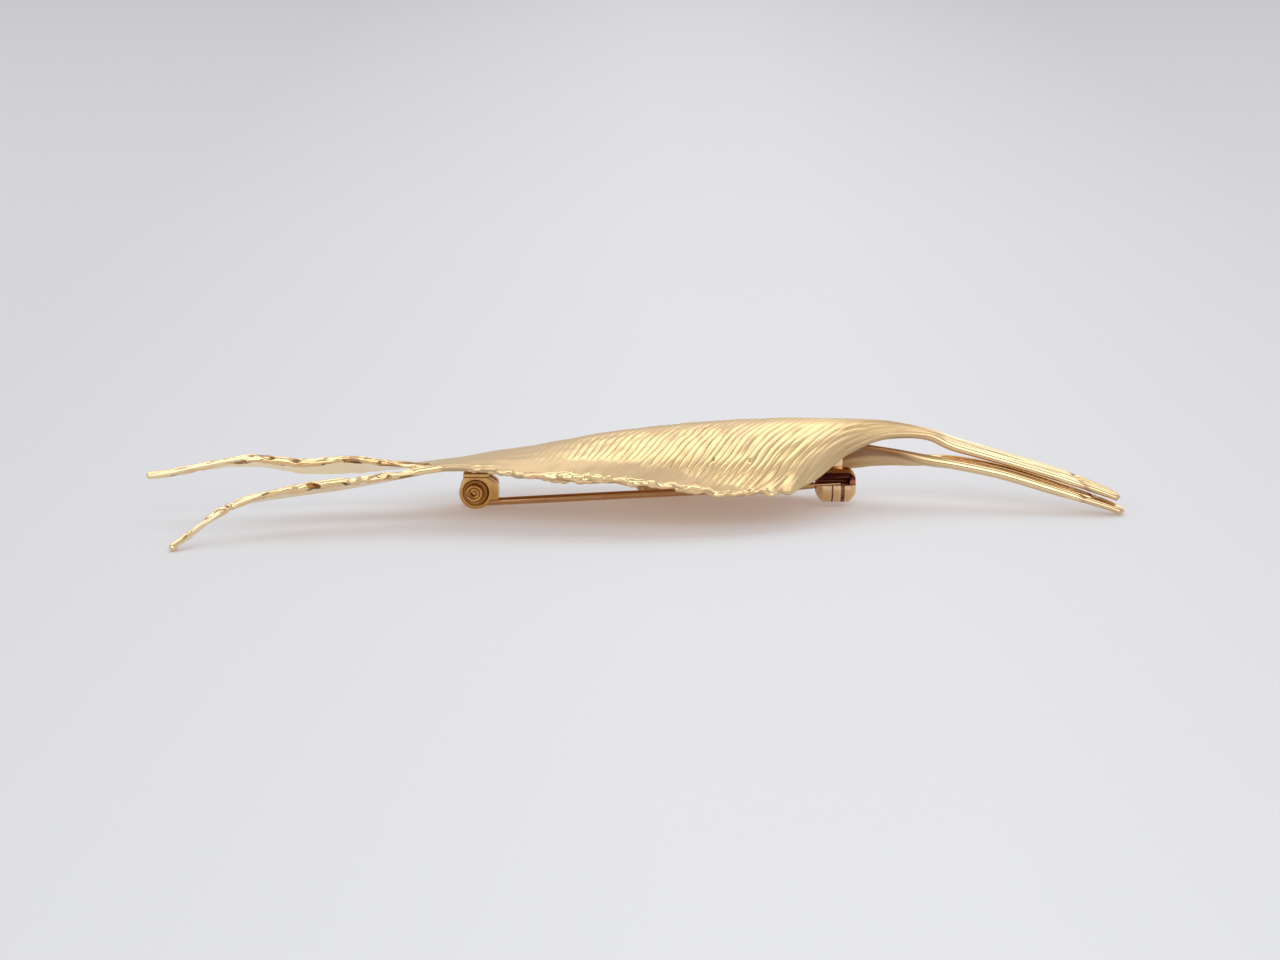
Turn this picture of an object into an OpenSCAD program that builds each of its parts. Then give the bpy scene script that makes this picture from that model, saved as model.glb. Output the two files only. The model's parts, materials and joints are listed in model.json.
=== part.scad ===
// A feather brooch in yellow gold: one sheet feather in two ribbed halves that meet along the crest.
// Each half has a ragged outer edge, a narrow tail at the left and a flat quill at the right.
// A pin on a riveted hinge and a catch with a turning lock are fitted underneath.
// X runs along the feather towards the quills, Y away from the front edge, Z up from the table.
// The origin is under the middle of the brooch, on the surface that it lies on.

/* [Feather] */
// Thickness of the gold sheet between its edges
sheet_t = 0.45; // [0.35:0.05:0.6]
// How far the ragged outer edge wanders in and out
rag_depth = 0.16; // [0:0.02:0.25]
// Length of one tooth of the ragged edge
rag_pitch = 1.5; // [1:0.1:3]

/* [Pin] */
// Diameter of the pin wire
pin_d = 0.6; // [0.5:0.05:0.7]
// Distance from the hinge axis to the middle of the catch
pin_span = 30.8; // [30.5:0.1:31.3]
// Length of the tapered point
point_l = 4; // [3:0.5:5]

/* [Hinge] */
// Diameter of the hinge ears
ear_d = 2.8; // [2.6:0.1:2.9]
// Thickness of each ear
ear_t = 0.65; // [0.55:0.05:0.8]
// Thickness of the pin's flat eye between the ears
eye_t = 0.7; // [0.65:0.05:0.8]
// Diameter of the rivet
rivet_d = 0.84; // [0.7:0.02:1]

/* [Catch] */
// Diameter of the barrel
barrel_d = 3; // [2.9:0.05:3.1]
// Length of the barrel along the pin
barrel_l = 3.4; // [3.2:0.1:3.6]
// Width of the way in for the pin
mouth_w = 0.86; // [0.8:0.02:0.9]

/* [Hidden] */
gold = [0.86, 0.70, 0.38];
bright_gold = [0.93, 0.76, 0.40];
eps = 0.01;

// Each row is one section of a half: outer x, y, z; inner x, y, z; how far the sheet bows above
// the straight line between them; thickness at the outer and at the inner edge; share of raggedness.
near_rows = [
    [-37.80, -10.30, 0.25, -38.00, -10.10, 0.25, 0.00, 0.45, 0.45, 0.0],
    [-36.70, -8.95, 0.85, -36.90, -8.70, 0.85, 0.00, 0.55, 0.52, 0.0],
    [-35.60, -7.75, 1.60, -35.90, -7.35, 1.50, 0.00, 0.62, 0.50, 0.4],
    [-33.50, -6.20, 2.75, -33.90, -5.60, 2.35, 0.00, 0.65, 0.45, 1.0],
    [-31.20, -4.90, 3.40, -31.70, -3.80, 2.35, 0.05, 0.65, 0.40, 1.0],
    [-28.00, -3.90, 3.80, -28.60, -2.30, 2.45, 0.10, 0.70, 0.40, 1.0],
    [-23.90, -3.20, 4.20, -24.20, -1.30, 2.95, 0.10, 0.70, 0.40, 1.0],
    [-19.80, -2.60, 4.60, -18.60, -0.10, 4.00, 0.10, 0.65, 0.50, 1.0],
    [-17.60, -2.45, 4.90, -15.00, 1.10, 4.60, 0.20, 0.60, 0.60, 1.0],
    [-15.40, -2.50, 5.15, -11.80, 1.70, 5.15, 0.30, 0.60, 0.65, 1.0],
    [-11.40, -3.20, 5.05, -6.50, 2.40, 6.02, 0.50, 0.60, 0.70, 1.0],
    [-7.30, -3.80, 4.70, -1.50, 2.90, 6.75, 0.70, 0.60, 0.75, 1.0],
    [-3.10, -4.20, 4.60, 3.00, 3.30, 7.15, 0.80, 0.60, 0.80, 1.0],
    [1.00, -4.50, 4.35, 6.80, 3.65, 7.38, 0.85, 0.60, 0.80, 1.0],
    [5.20, -4.20, 3.70, 9.80, 3.90, 7.48, 0.90, 0.60, 0.80, 1.0],
    [9.30, -3.50, 3.35, 12.20, 4.15, 7.53, 0.90, 0.60, 0.80, 1.0],
    [13.60, -1.60, 3.30, 15.00, 4.45, 7.45, 0.80, 0.60, 0.80, 0.9],
    [17.60, 2.40, 5.20, 18.20, 4.90, 7.28, 0.40, 0.55, 0.80, 0.2],
    [21.00, 4.30, 6.20, 21.50, 5.50, 6.98, 0.10, 0.60, 0.75, 0.0],
    [24.50, 4.90, 6.20, 24.90, 6.30, 6.12, 0.00, 0.75, 0.75, 0.0],
    [27.00, 4.90, 5.18, 27.40, 6.50, 5.25, 0.00, 0.75, 0.75, 0.0],
    [31.00, 3.90, 4.22, 31.30, 5.70, 4.32, 0.00, 0.62, 0.62, 0.0],
    [35.20, 2.90, 3.15, 35.50, 4.60, 3.25, 0.00, 0.62, 0.62, 0.0],
    [39.20, 2.10, 1.95, 39.40, 3.40, 2.00, 0.00, 0.55, 0.55, 0.0],
    [40.90, 1.90, 1.30, 41.00, 2.70, 1.30, 0.00, 0.42, 0.42, 0.0],
];
far_rows = [
    [-41.30, 0.35, 3.80, -41.30, -0.10, 3.80, 0.00, 0.45, 0.45, 0.0],
    [-39.30, 0.70, 4.00, -39.30, 0.20, 4.05, 0.00, 0.60, 0.62, 0.0],
    [-36.90, 1.20, 4.20, -36.90, 0.60, 4.50, 0.00, 0.58, 0.66, 0.4],
    [-32.60, 2.50, 4.15, -32.70, 1.30, 5.05, 0.05, 0.45, 0.66, 1.0],
    [-28.30, 3.30, 3.35, -28.50, 1.60, 4.60, 0.10, 0.40, 0.70, 1.0],
    [-24.50, 4.00, 3.20, -24.80, 1.80, 4.90, 0.10, 0.40, 0.70, 1.0],
    [-20.60, 4.50, 3.45, -20.20, 1.40, 4.50, 0.10, 0.50, 0.65, 1.0],
    [-18.00, 5.20, 3.70, -15.50, 0.70, 4.45, 0.10, 0.60, 0.55, 1.0],
    [-15.80, 6.40, 3.55, -12.00, 1.25, 4.90, 0.15, 0.60, 0.50, 1.0],
    [-13.00, 7.70, 3.50, -8.60, 1.65, 5.52, 0.35, 0.60, 0.50, 1.0],
    [-9.60, 8.70, 2.90, -4.80, 2.05, 6.15, 0.50, 0.60, 0.50, 1.0],
    [-5.60, 9.30, 2.40, -0.60, 2.45, 6.65, 0.65, 0.60, 0.50, 1.0],
    [-1.60, 9.50, 2.20, 3.60, 2.80, 6.98, 0.75, 0.60, 0.50, 1.0],
    [0.60, 9.60, 1.20, 6.20, 3.10, 7.12, 0.80, 0.60, 0.50, 1.0],
    [4.80, 9.60, 1.10, 10.20, 3.60, 7.05, 0.85, 0.60, 0.50, 1.0],
    [9.00, 9.40, 1.10, 13.60, 4.35, 6.50, 0.80, 0.60, 0.50, 1.0],
    [13.20, 8.70, 1.30, 16.80, 4.70, 5.85, 0.65, 0.60, 0.50, 0.9],
    [17.00, 7.80, 2.55, 19.60, 4.90, 5.20, 0.40, 0.60, 0.50, 0.4],
    [20.60, 7.00, 3.30, 22.20, 4.90, 4.70, 0.20, 0.65, 0.60, 0.1],
    [24.00, 6.50, 3.62, 24.60, 4.90, 4.05, 0.05, 0.95, 0.95, 0.0],
    [27.20, 6.20, 3.75, 27.10, 4.60, 3.80, 0.00, 0.75, 0.75, 0.0],
    [31.30, 5.60, 3.20, 31.00, 3.80, 3.20, 0.00, 0.62, 0.62, 0.0],
    [35.60, 4.30, 2.10, 35.20, 2.70, 2.10, 0.00, 0.62, 0.62, 0.0],
    [39.60, 2.90, 1.00, 39.30, 1.60, 0.95, 0.00, 0.50, 0.50, 0.0],
    [41.30, 2.10, 0.24, 41.20, 1.40, 0.24, 0.00, 0.42, 0.42, 0.0],
];
BOW = 6;
OUTER_T = 7;
INNER_T = 8;
RAG = 9;
steps = 4; // stations between two rows
across = 5; // strips from the inner edge to the outer one
near_seed = 20; // phases of the ragged edges
far_seed = 75;

// Where the pin and its fittings sit
pin_y = 4.9;
hinge_x = -13.85;
hinge_z = ear_d / 2;
catch_x = hinge_x + pin_span;
catch_z = 1.9;
fit = 0.05; // running gap round the rivet and the lock
round_fn = 64;

// Hinge
ear_y = eye_t / 2 + 0.06; // inner face of each ear, from the pin's plane
eye_d = 2.2;
back_x = 1.05; // the ears' plate reaches this far to the left of the axis
front_x = 1.95; // and their square side this far to the right
plate_z = 1.3; // top of the ears, above the axis
corner = [1.15, 0.75]; // the right shoulder slopes down from this x to this z
side_low = -0.6; // lower end of the ears' square side
stop_x = 1.3; // web between the ears, which stops the pin, from here to the ears' right side
stop_low = -0.6;
plate_t = 0.45;
solder = [1.7, 1.2, 1.2]; // lump of solder between the plate and the sheet
head_d = 1.4; // rivet head
head_t = 0.2;
dish_d = 1.9; // hollow in each ear round the rivet head
dish_t = 0.18;

// Pin
stem_drop = hinge_z - pin_d / 2; // the wire leaves the eye this far under the axis
stem_rise = atan((catch_z - hinge_z + stem_drop) / pin_span);
stem_start = 0.35;
root_d = 0.52; // the wire is a little thinner where it leaves the eye
root_l = 2.6;
tip_reach = 0.6; // past the middle of the catch
tip_d = 0.24;

// Catch: angles are counted from the back of the barrel, over the top, to the front
ball_r = 1.88; // the barrel's ends are rounded to a ball of this size
bore_r = 0.82;
lock_r = bore_r - 0.07;
lock_bore_r = 0.43;
window = [100, 183]; // open front, through which the pin shows
lock_from = -45; // the lock's two edges while it is open
lock_to = 97;
cheek_l = 1.25; // length of the left cheek
mid_l = 0.85; // length of the middle, where the lever turns
wall_l = 0.5; // closed end
lever_at = 40;
lever_half = 9;
lever_r = 2;
back_open = [-97, 60]; // the middle is open here for the lever
slit_t = 0.14; // the two slits in the front
slit_deep = 0.25;
neck = [0.8, 0.55, 2.45]; // post up to the sheet

// Smooth curve through four neighbouring rows, at f between the middle two
function through(a, b, c, d, f) =
    0.5 * (2 * b + (c - a) * f + (2 * a - 5 * b + 4 * c - d) * f * f + (3 * b - a - 3 * c + d) * f * f * f);
function row_at(rows, s) =
    let(last = len(rows) - 1, i = min(floor(s), last - 1), f = s - i)
    through(rows[max(i - 1, 0)], rows[i], rows[i + 1], rows[min(i + 2, last)], f);
function unit(v) = v / norm(v);
function outer(r) = [r[0], r[1], r[2]];
function inner(r) = [r[3], r[4], r[5]];

// The outer edge wanders by two waves of different lengths, so that no two teeth match
function rag(x, share, seed) =
    share * rag_depth * (sin(360 * x / rag_pitch + seed) + 0.6 * sin(360 * x / (0.61 * rag_pitch) + 2 * seed));

// Middle surface of a half at row position s and at v, from 0 at the inner edge to 1 at the outer
function mid(rows, s, v, seed) =
    let(
        r = row_at(rows, s),
        ahead = row_at(rows, min(s + 0.05, len(rows) - 1)),
        behind = row_at(rows, max(s - 0.05, 0)),
        chord = outer(r) - inner(r),
        along = outer(ahead) + inner(ahead) - outer(behind) - inner(behind),
        up = unit(cross(chord, along)),
        lift = up[2] < 0 ? -up : up
    )
    inner(r) + v * chord + 4 * v * (1 - v) * r[BOW] * lift
        + pow(v, 4) * rag(outer(r)[0], r[RAG], seed) * unit(chord);

function grid(rows, seed) =
    [for (k = [0 : (len(rows) - 1) * steps]) [for (j = [0 : across]) mid(rows, k / steps, j / across, seed)]];

// Sheet normal at one grid point
function grid_normal(g, k, j) =
    let(
        last = len(g) - 1,
        du = g[min(k + 1, last)][j] - g[max(k - 1, 0)][j],
        dv = g[k][min(j + 1, across)] - g[k][max(j - 1, 0)]
    )
    unit(cross(du, dv));
function thickness(r, v) = sheet_t + (r[OUTER_T] - sheet_t) * pow(v, 3) + (r[INNER_T] - sheet_t) * pow(1 - v, 3);

// One closed ring of points round the sheet at station k: along one face and back along the other
function ring(rows, g, k) =
    let(r = row_at(rows, k / steps))
    [
        for (j = [0 : across]) g[k][j] + grid_normal(g, k, j) * thickness(r, j / across) / 2,
        for (j = [across : -1 : 0]) g[k][j] - grid_normal(g, k, j) * thickness(r, j / across) / 2,
    ];

module half_feather(rows, seed) {
    g = grid(rows, seed);
    n = 2 * (across + 1);
    last = len(g) - 1;
    points = [for (k = [0 : last]) each ring(rows, g, k)];
    walls = [
        for (k = [0 : last - 1], j = [0 : n - 1])
        let(a = k * n + j, b = k * n + (j + 1) % n)
        each [[a, b, b + n], [a, b + n, a + n]]
    ];
    start_cap = [for (j = [0 : across - 1]) each [[j, n - 1 - j, j + 1], [j + 1, n - 1 - j, n - 2 - j]]];
    end_cap = [for (f = start_cap) [f[2] + last * n, f[1] + last * n, f[0] + last * n]];
    polyhedron(points = points, faces = concat(walls, start_cap, end_cap), convexity = 10);
}

// Turns a drawing of x and z into a plate of thickness t whose near face is at y
module upright(y, t) {
    translate([0, y + t, 0]) rotate([90, 0, 0]) linear_extrude(t) children();
}

// Turns a drawing of y and z round the barrel's axis into a length l along x
module along_pin(x, l) {
    translate([x, pin_y, catch_z]) rotate([90, 0, 90]) linear_extrude(l) children();
}

// Wedge of a disc between two angles
module wedge(r, from, to) {
    parts = ceil((to - from) / 60);
    points = [for (i = [0 : parts]) let(a = from + (to - from) * i / parts) 1.3 * r * [cos(a), sin(a)]];
    polygon(concat([[0, 0]], points));
}

module ear_outline() {
    translate([hinge_x, hinge_z]) {
        circle(d = ear_d, $fn = round_fn);
        polygon([
            [-back_x, 0], [-back_x, plate_z], [corner[0], plate_z], [front_x, corner[1]],
            [front_x, side_low], [0, side_low],
        ]);
    }
}

module hinge_seat() {
    far_face = ear_y + ear_t;
    difference() {
        union() {
            upright(pin_y - far_face, ear_t) ear_outline();
            upright(pin_y + ear_y, ear_t) ear_outline();
            // web that stops the pin
            upright(pin_y - ear_y - eps, 2 * (ear_y + eps)) translate([hinge_x + stop_x, hinge_z + stop_low])
                square([front_x - stop_x, corner[1] - stop_low]);
            // plate that joins the ears, and the solder that holds it to the sheet
            upright(pin_y - far_face, 2 * far_face) translate([hinge_x - back_x, hinge_z + plate_z - eps])
                square([back_x + corner[0], plate_t]);
            translate([hinge_x - solder[0] / 2, pin_y - 0.5, hinge_z + plate_z + plate_t - 2 * eps]) cube(solder);
        }
        upright(0, 2 * pin_y) translate([hinge_x, hinge_z]) circle(d = rivet_d + 0.04, $fn = round_fn);
        for (side = [-1, 1])
            upright(pin_y + side * far_face - dish_t, 2 * dish_t)
                translate([hinge_x, hinge_z]) circle(d = dish_d, $fn = round_fn);
    }
}

module catch_frame() {
    left = catch_x - barrel_l / 2;
    mid_x = left + cheek_l;
    hollow_l = barrel_l - wall_l;
    difference() {
        union() {
            translate([catch_x, pin_y, catch_z]) rotate([0, 90, 0]) rotate_extrude($fn = round_fn) intersection() {
                translate([0, -barrel_l / 2]) square([barrel_d / 2, barrel_l]);
                circle(r = ball_r, $fn = round_fn);
            }
            translate([catch_x - neck[0] / 2, pin_y, catch_z + bore_r + 0.25]) cube(neck);
        }
        // bore, front window and the way in for the pin, which all stop at the closed end
        along_pin(left - 1, hollow_l + 1) circle(r = bore_r, $fn = round_fn);
        along_pin(left - 1, hollow_l + 1) wedge(barrel_d, window[0], window[1]);
        along_pin(left - 1, hollow_l + 1) translate([-mouth_w / 2, -barrel_d]) square([mouth_w, barrel_d]);
        along_pin(mid_x, mid_l) wedge(barrel_d, back_open[0], back_open[1]);
        // slits beside the middle, in front
        for (x = [mid_x, mid_x + mid_l])
            along_pin(x - slit_t / 2, slit_t) intersection() {
                difference() {
                    circle(d = barrel_d + 1, $fn = round_fn);
                    circle(d = barrel_d - 2 * slit_deep, $fn = round_fn);
                }
                wedge(barrel_d, window[1] - 1, 262);
            }
    }
}

module feather() {
    color(gold) {
        half_feather(near_rows, near_seed);
        half_feather(far_rows, far_seed);
        hinge_seat();
        catch_frame();
    }
}

module hinge_rivet() {
    reach = ear_y + ear_t - dish_t + fit / 2; // underside of each head, from the pin's plane
    color(bright_gold) translate([hinge_x, pin_y, hinge_z]) rotate([90, 0, 0]) {
        cylinder(d = rivet_d, h = 2 * (reach + eps), center = true, $fn = round_fn);
        for (side = [-1, 1])
            rotate([side * 90 - 90, 0, 0]) translate([0, 0, reach]) cylinder(d = head_d, h = head_t, $fn = round_fn);
    }
}

module pin_stem() {
    straight = pin_span + tip_reach - point_l - stem_start;
    color(bright_gold) difference() {
        union() {
            upright(pin_y - eye_t / 2, eye_t) translate([hinge_x, hinge_z]) circle(d = eye_d, $fn = round_fn);
            translate([hinge_x, pin_y, hinge_z - stem_drop]) rotate([0, 90 - stem_rise, 0]) {
                translate([0, 0, stem_start]) cylinder(d1 = root_d, d2 = pin_d, h = root_l, $fn = round_fn);
                translate([0, 0, stem_start + root_l - eps])
                    cylinder(d = pin_d, h = straight - root_l + eps, $fn = round_fn);
                translate([0, 0, stem_start + straight - eps])
                    cylinder(d1 = pin_d, d2 = tip_d, h = point_l, $fn = round_fn);
            }
        }
        upright(0, 2 * pin_y) translate([hinge_x, hinge_z]) circle(d = rivet_d + 2 * fit, $fn = round_fn);
    }
}

module catch_lock() {
    left = catch_x - barrel_l / 2;
    color(gold) {
        along_pin(left + 0.1, barrel_l - wall_l - 0.17) difference() {
            circle(r = lock_r, $fn = round_fn);
            circle(r = lock_bore_r, $fn = round_fn);
            wedge(barrel_d, lock_to, lock_from + 360);
        }
        // lever
        along_pin(left + cheek_l + 0.1, mid_l - 0.2) difference() {
            intersection() {
                circle(r = lever_r, $fn = round_fn);
                wedge(2 * lever_r, lever_at - lever_half, lever_at + lever_half);
            }
            circle(r = lock_r - 0.1, $fn = round_fn);
        }
    }
}

feather();
hinge_rivet();
pin_stem();
catch_lock();
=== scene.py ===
"""Looks of a gold feather brooch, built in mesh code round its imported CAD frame."""
import json
import logging
import math
from dataclasses import dataclass, field
from enum import Enum
from typing import NamedTuple, Optional, Sequence

import bmesh
import bpy
import numpy as np
from mathutils import Euler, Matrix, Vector


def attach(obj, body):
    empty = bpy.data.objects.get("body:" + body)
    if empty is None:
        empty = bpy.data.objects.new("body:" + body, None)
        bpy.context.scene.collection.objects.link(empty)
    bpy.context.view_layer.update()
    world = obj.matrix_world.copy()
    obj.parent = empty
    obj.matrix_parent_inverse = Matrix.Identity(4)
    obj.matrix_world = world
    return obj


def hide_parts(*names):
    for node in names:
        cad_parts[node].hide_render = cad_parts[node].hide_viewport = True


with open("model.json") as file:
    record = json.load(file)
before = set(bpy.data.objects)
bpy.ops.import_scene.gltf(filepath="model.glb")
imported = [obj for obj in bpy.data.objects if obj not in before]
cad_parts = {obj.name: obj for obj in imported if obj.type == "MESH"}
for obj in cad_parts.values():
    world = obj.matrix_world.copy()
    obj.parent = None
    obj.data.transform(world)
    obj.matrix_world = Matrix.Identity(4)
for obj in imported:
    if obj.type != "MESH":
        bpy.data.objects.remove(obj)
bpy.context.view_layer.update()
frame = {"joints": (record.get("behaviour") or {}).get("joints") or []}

MM = 0.001
TURN = 2 * math.pi
JOINTS = {joint["name"]: [round(place / MM, 3) for place in joint["pos_m"]] for joint in frame["joints"]}
HINGE_X, PIN_Y, HINGE_Z = JOINTS["pin_swing"]  # on the axis that the pin swings on, in mm
CATCH_X, CATCH_Z = JOINTS["lock_turn"][::2]  # on the lock's axis, half way along the barrel
HINGE = (HINGE_X, HINGE_Z)
ROUNDED_ANGLE = math.radians(38)  # edges sharper than this are rounded
SHARP_ANGLE = math.radians(50)  # edges sharper than this are shaded as edges
GRID_REACH = 60  # a grid over the whole length runs from minus this to this x
GRID_STEPS = 6001
ROW_STEP = 0.05  # step to both sides that gives the run of the rows
NUDGE = 0.01  # the same for the sheet's own two directions
Array = np.ndarray
Row = tuple[float, ...]
Pair = tuple[float, float]
Triple = tuple[float, float, float]
Colour = tuple[float, float, float]
Knots = tuple[Pair, ...]  # points of a broken line
Face = tuple[int, ...]
Groups = dict[str, bpy.types.ShaderNodeTree]
log = logging.getLogger("feather_brooch")

# One section of a half to a row, in mm: outer x, y, z; inner x, y, z; how far the sheet bows above
# the straight line between them; thickness at the outer and at the inner edge; share of raggedness.
NEAR_ROWS: tuple[Row, ...] = (
    (-37.80, -10.30, 0.25, -38.00, -10.10, 0.25, 0.00, 0.45, 0.45, 0.0),
    (-36.70, -8.95, 0.85, -36.90, -8.70, 0.85, 0.00, 0.55, 0.52, 0.0),
    (-35.60, -7.75, 1.60, -35.90, -7.35, 1.50, 0.00, 0.62, 0.50, 0.4),
    (-33.50, -6.20, 2.75, -33.90, -5.60, 2.45, 0.00, 0.65, 0.45, 1.0),
    (-31.20, -4.90, 3.40, -31.70, -3.80, 2.60, 0.05, 0.65, 0.40, 1.0),
    (-28.00, -3.90, 3.80, -28.60, -2.30, 2.75, 0.10, 0.70, 0.40, 1.0),
    (-23.90, -3.20, 4.20, -24.20, -1.30, 3.15, 0.10, 0.70, 0.40, 1.0),
    (-19.80, -2.60, 4.60, -18.60, -0.10, 4.00, 0.10, 0.65, 0.50, 1.0),
    (-17.60, -2.45, 4.90, -15.00, 1.10, 4.60, 0.20, 0.60, 0.60, 1.0),
    (-15.40, -2.50, 5.15, -11.80, 1.70, 5.15, 0.12, 0.60, 0.65, 1.0),
    (-11.40, -3.20, 5.05, -6.50, 2.40, 6.02, 0.20, 0.60, 0.70, 1.0),
    (-7.30, -3.80, 4.70, -1.50, 2.90, 6.75, 0.45, 0.60, 0.75, 1.0),
    (-3.10, -4.20, 4.60, 3.00, 3.30, 7.15, 0.70, 0.60, 0.80, 1.0),
    (1.00, -4.50, 4.35, 6.80, 3.65, 7.38, 0.85, 0.60, 0.80, 1.0),
    (5.20, -4.20, 3.70, 9.80, 3.90, 7.48, 0.90, 0.60, 0.80, 1.0),
    (9.30, -3.50, 3.35, 12.20, 4.15, 7.53, 0.90, 0.60, 0.80, 1.0),
    (13.60, -1.60, 3.30, 15.00, 4.45, 7.45, 0.80, 0.60, 0.80, 0.9),
    (17.60, 2.40, 5.20, 18.20, 4.90, 7.28, 0.40, 0.55, 0.80, 0.2),
    (21.00, 4.30, 6.20, 21.50, 5.50, 6.98, 0.10, 0.60, 0.75, 0.0),
    (24.50, 4.90, 6.20, 24.90, 6.30, 6.12, 0.00, 0.75, 0.75, 0.0),
    (27.00, 4.90, 5.18, 27.40, 6.50, 5.25, 0.00, 0.75, 0.75, 0.0),
    (31.00, 3.90, 4.22, 31.30, 5.70, 4.32, 0.00, 0.62, 0.62, 0.0),
    (35.20, 2.90, 3.15, 35.50, 4.60, 3.25, 0.00, 0.62, 0.62, 0.0),
    (39.20, 2.10, 1.95, 39.40, 3.40, 2.00, 0.00, 0.55, 0.55, 0.0),
    (40.90, 1.90, 1.30, 41.00, 2.70, 1.30, 0.00, 0.42, 0.42, 0.0),
)
FAR_ROWS: tuple[Row, ...] = (
    (-41.30, 0.35, 3.80, -41.30, -0.10, 3.80, 0.00, 0.45, 0.45, 0.0),
    (-39.30, 0.70, 4.00, -39.30, 0.20, 4.05, 0.00, 0.60, 0.62, 0.0),
    (-36.90, 1.20, 4.20, -36.90, 0.60, 4.50, 0.00, 0.58, 0.66, 0.4),
    (-32.60, 2.50, 4.15, -32.70, 1.30, 5.05, 0.05, 0.45, 0.66, 1.0),
    (-28.30, 3.30, 3.35, -28.50, 1.60, 4.60, 0.10, 0.40, 0.70, 1.0),
    (-24.50, 4.00, 3.20, -24.80, 1.80, 4.90, 0.10, 0.40, 0.70, 1.0),
    (-20.60, 4.50, 3.45, -20.20, 1.40, 4.50, 0.10, 0.50, 0.65, 1.0),
    (-18.00, 5.20, 3.70, -15.50, 0.70, 4.45, 0.10, 0.60, 0.55, 1.0),
    (-15.80, 6.40, 3.55, -12.00, 1.25, 4.90, 0.15, 0.60, 0.50, 1.0),
    (-13.00, 7.70, 3.50, -8.60, 1.65, 5.52, 0.35, 0.60, 0.50, 1.0),
    (-9.60, 8.70, 2.90, -4.80, 2.05, 6.15, 0.50, 0.60, 0.50, 1.0),
    (-5.60, 9.30, 2.40, -0.60, 2.45, 6.65, 0.65, 0.60, 0.50, 1.0),
    (-1.60, 9.50, 2.20, 3.60, 2.80, 6.98, 0.75, 0.60, 0.50, 1.0),
    (0.60, 8.95, 0.36, 6.20, 3.10, 7.12, 0.80, 0.60, 0.50, 1.0),
    (4.80, 9.15, 0.50, 10.20, 3.60, 7.05, 0.85, 0.60, 0.50, 1.0),
    (9.00, 9.40, 1.10, 13.60, 4.35, 6.50, 0.80, 0.60, 0.50, 1.0),
    (13.20, 8.70, 1.30, 16.80, 4.70, 5.85, 0.65, 0.60, 0.50, 0.9),
    (17.00, 7.80, 2.55, 19.60, 4.90, 5.20, 0.40, 0.60, 0.50, 0.4),
    (20.60, 7.00, 3.30, 22.20, 4.90, 4.70, 0.20, 0.65, 0.60, 0.1),
    (24.00, 6.50, 3.62, 24.60, 4.90, 4.05, 0.05, 0.95, 0.95, 0.0),
    (27.20, 6.00, 3.80, 27.10, 4.35, 3.75, 0.00, 0.75, 0.85, 0.0),
    (31.30, 5.30, 3.25, 31.00, 3.45, 3.10, 0.00, 0.62, 0.85, 0.0),
    (35.60, 4.10, 2.12, 35.20, 2.45, 2.02, 0.00, 0.62, 0.78, 0.0),
    (39.60, 2.85, 0.98, 39.30, 1.50, 0.92, 0.00, 0.48, 0.50, 0.0),
    (41.30, 2.10, 0.24, 41.20, 1.40, 0.24, 0.00, 0.42, 0.42, 0.0),
)
OUTER_X, INNER_X, BOW, OUTER_T, INNER_T, RAG = 0, 3, 6, 7, 8, 9


class Edge(Enum):
    """The two long edges of a half, by their place across it."""

    INNER = 0.0
    OUTER = 1.0


class Plane(Enum):
    """Planes that a plate's outline is drawn in, by the number of the direction that is left over."""

    YZ = 0
    XZ = 1


class Metal(Enum):
    """The finishes, by the name of their material."""

    SATIN = "satin_gold"
    POLISHED = "polished_gold"
    PIN = "pin_gold"
    # dark gold that paints the shade in the hinge's dish
    RECESS_SHADE = "recess_shade_gold"
    HINGE = "hinge_gold"
    RIM = "rim_gold"
    SHADOWED = "shadowed_gold"


def on_line(knots: Knots, x: Array) -> Array:
    """Reads a broken line.

    Args:
        knots: Points of the line, with rising x.
        x: Where to read it.

    Returns:
        The line's height at each x.
    """
    xs, heights = zip(*knots)
    return np.interp(x, xs, heights)


def ease(x: Array, low: float, high: float) -> Array:
    """Rises smoothly from 0 at low to 1 at high.

    Args:
        x: Values to ease.
        low: Where the rise starts.
        high: Where it ends.

    Returns:
        The eased share for each x.
    """
    share = np.clip((x - low) / (high - low), 0.0, 1.0)
    return share * share * (3 - 2 * share)


def within(x: Array, rise: Pair, fall: Pair) -> Array:
    """Eases up to 1 over one stretch and back down to 0 over another.

    Args:
        x: Values to ease.
        rise: Where the rise starts and ends.
        fall: Where the fall starts and ends.

    Returns:
        The eased share for each x.
    """
    return ease(x, *rise) * (1 - ease(x, *fall))


def bell(x: Array, width: float) -> Array:
    """Reads a smooth hump that is 1 at x = 0.

    Args:
        x: Where to read it.
        width: Distance at which it has fallen to 1/e.

    Returns:
        The hump's height at each x.
    """
    return np.exp(-((x / width) ** 2))


def unit(v: Array) -> Array:
    """Brings vectors to length one.

    Args:
        v: The vectors, with their coordinates last.

    Returns:
        The unit vectors.
    """
    return v / np.maximum(np.linalg.norm(v, axis=-1, keepdims=True), 1e-12)


@dataclass(frozen=True)
class Ripple:
    """Smooth random waves over two directions."""

    seed: int
    long_u: float
    long_v: float
    count: int = 14
    stretch: Pair = (0.6, 1.6)  # shortest and longest wave, as shares of the length

    def __call__(self, u: Array, v: Array) -> Array:
        """Adds up the waves.

        Args:
            u: Places in the first direction.
            v: Places in the second direction.

        Returns:
            The height of the waves, mostly between -2 and 2.
        """
        draw = np.random.default_rng(self.seed)
        total = np.zeros(np.broadcast(u, v).shape)
        for _ in range(self.count):
            turn, stretch, start = draw.uniform((0, self.stretch[0], 0), (TURN, self.stretch[1], TURN))
            run = math.cos(turn) * u / self.long_u + math.sin(turn) * v / self.long_v
            total += np.sin(TURN * stretch * run + start)
        return total * math.sqrt(2 / self.count)


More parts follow.
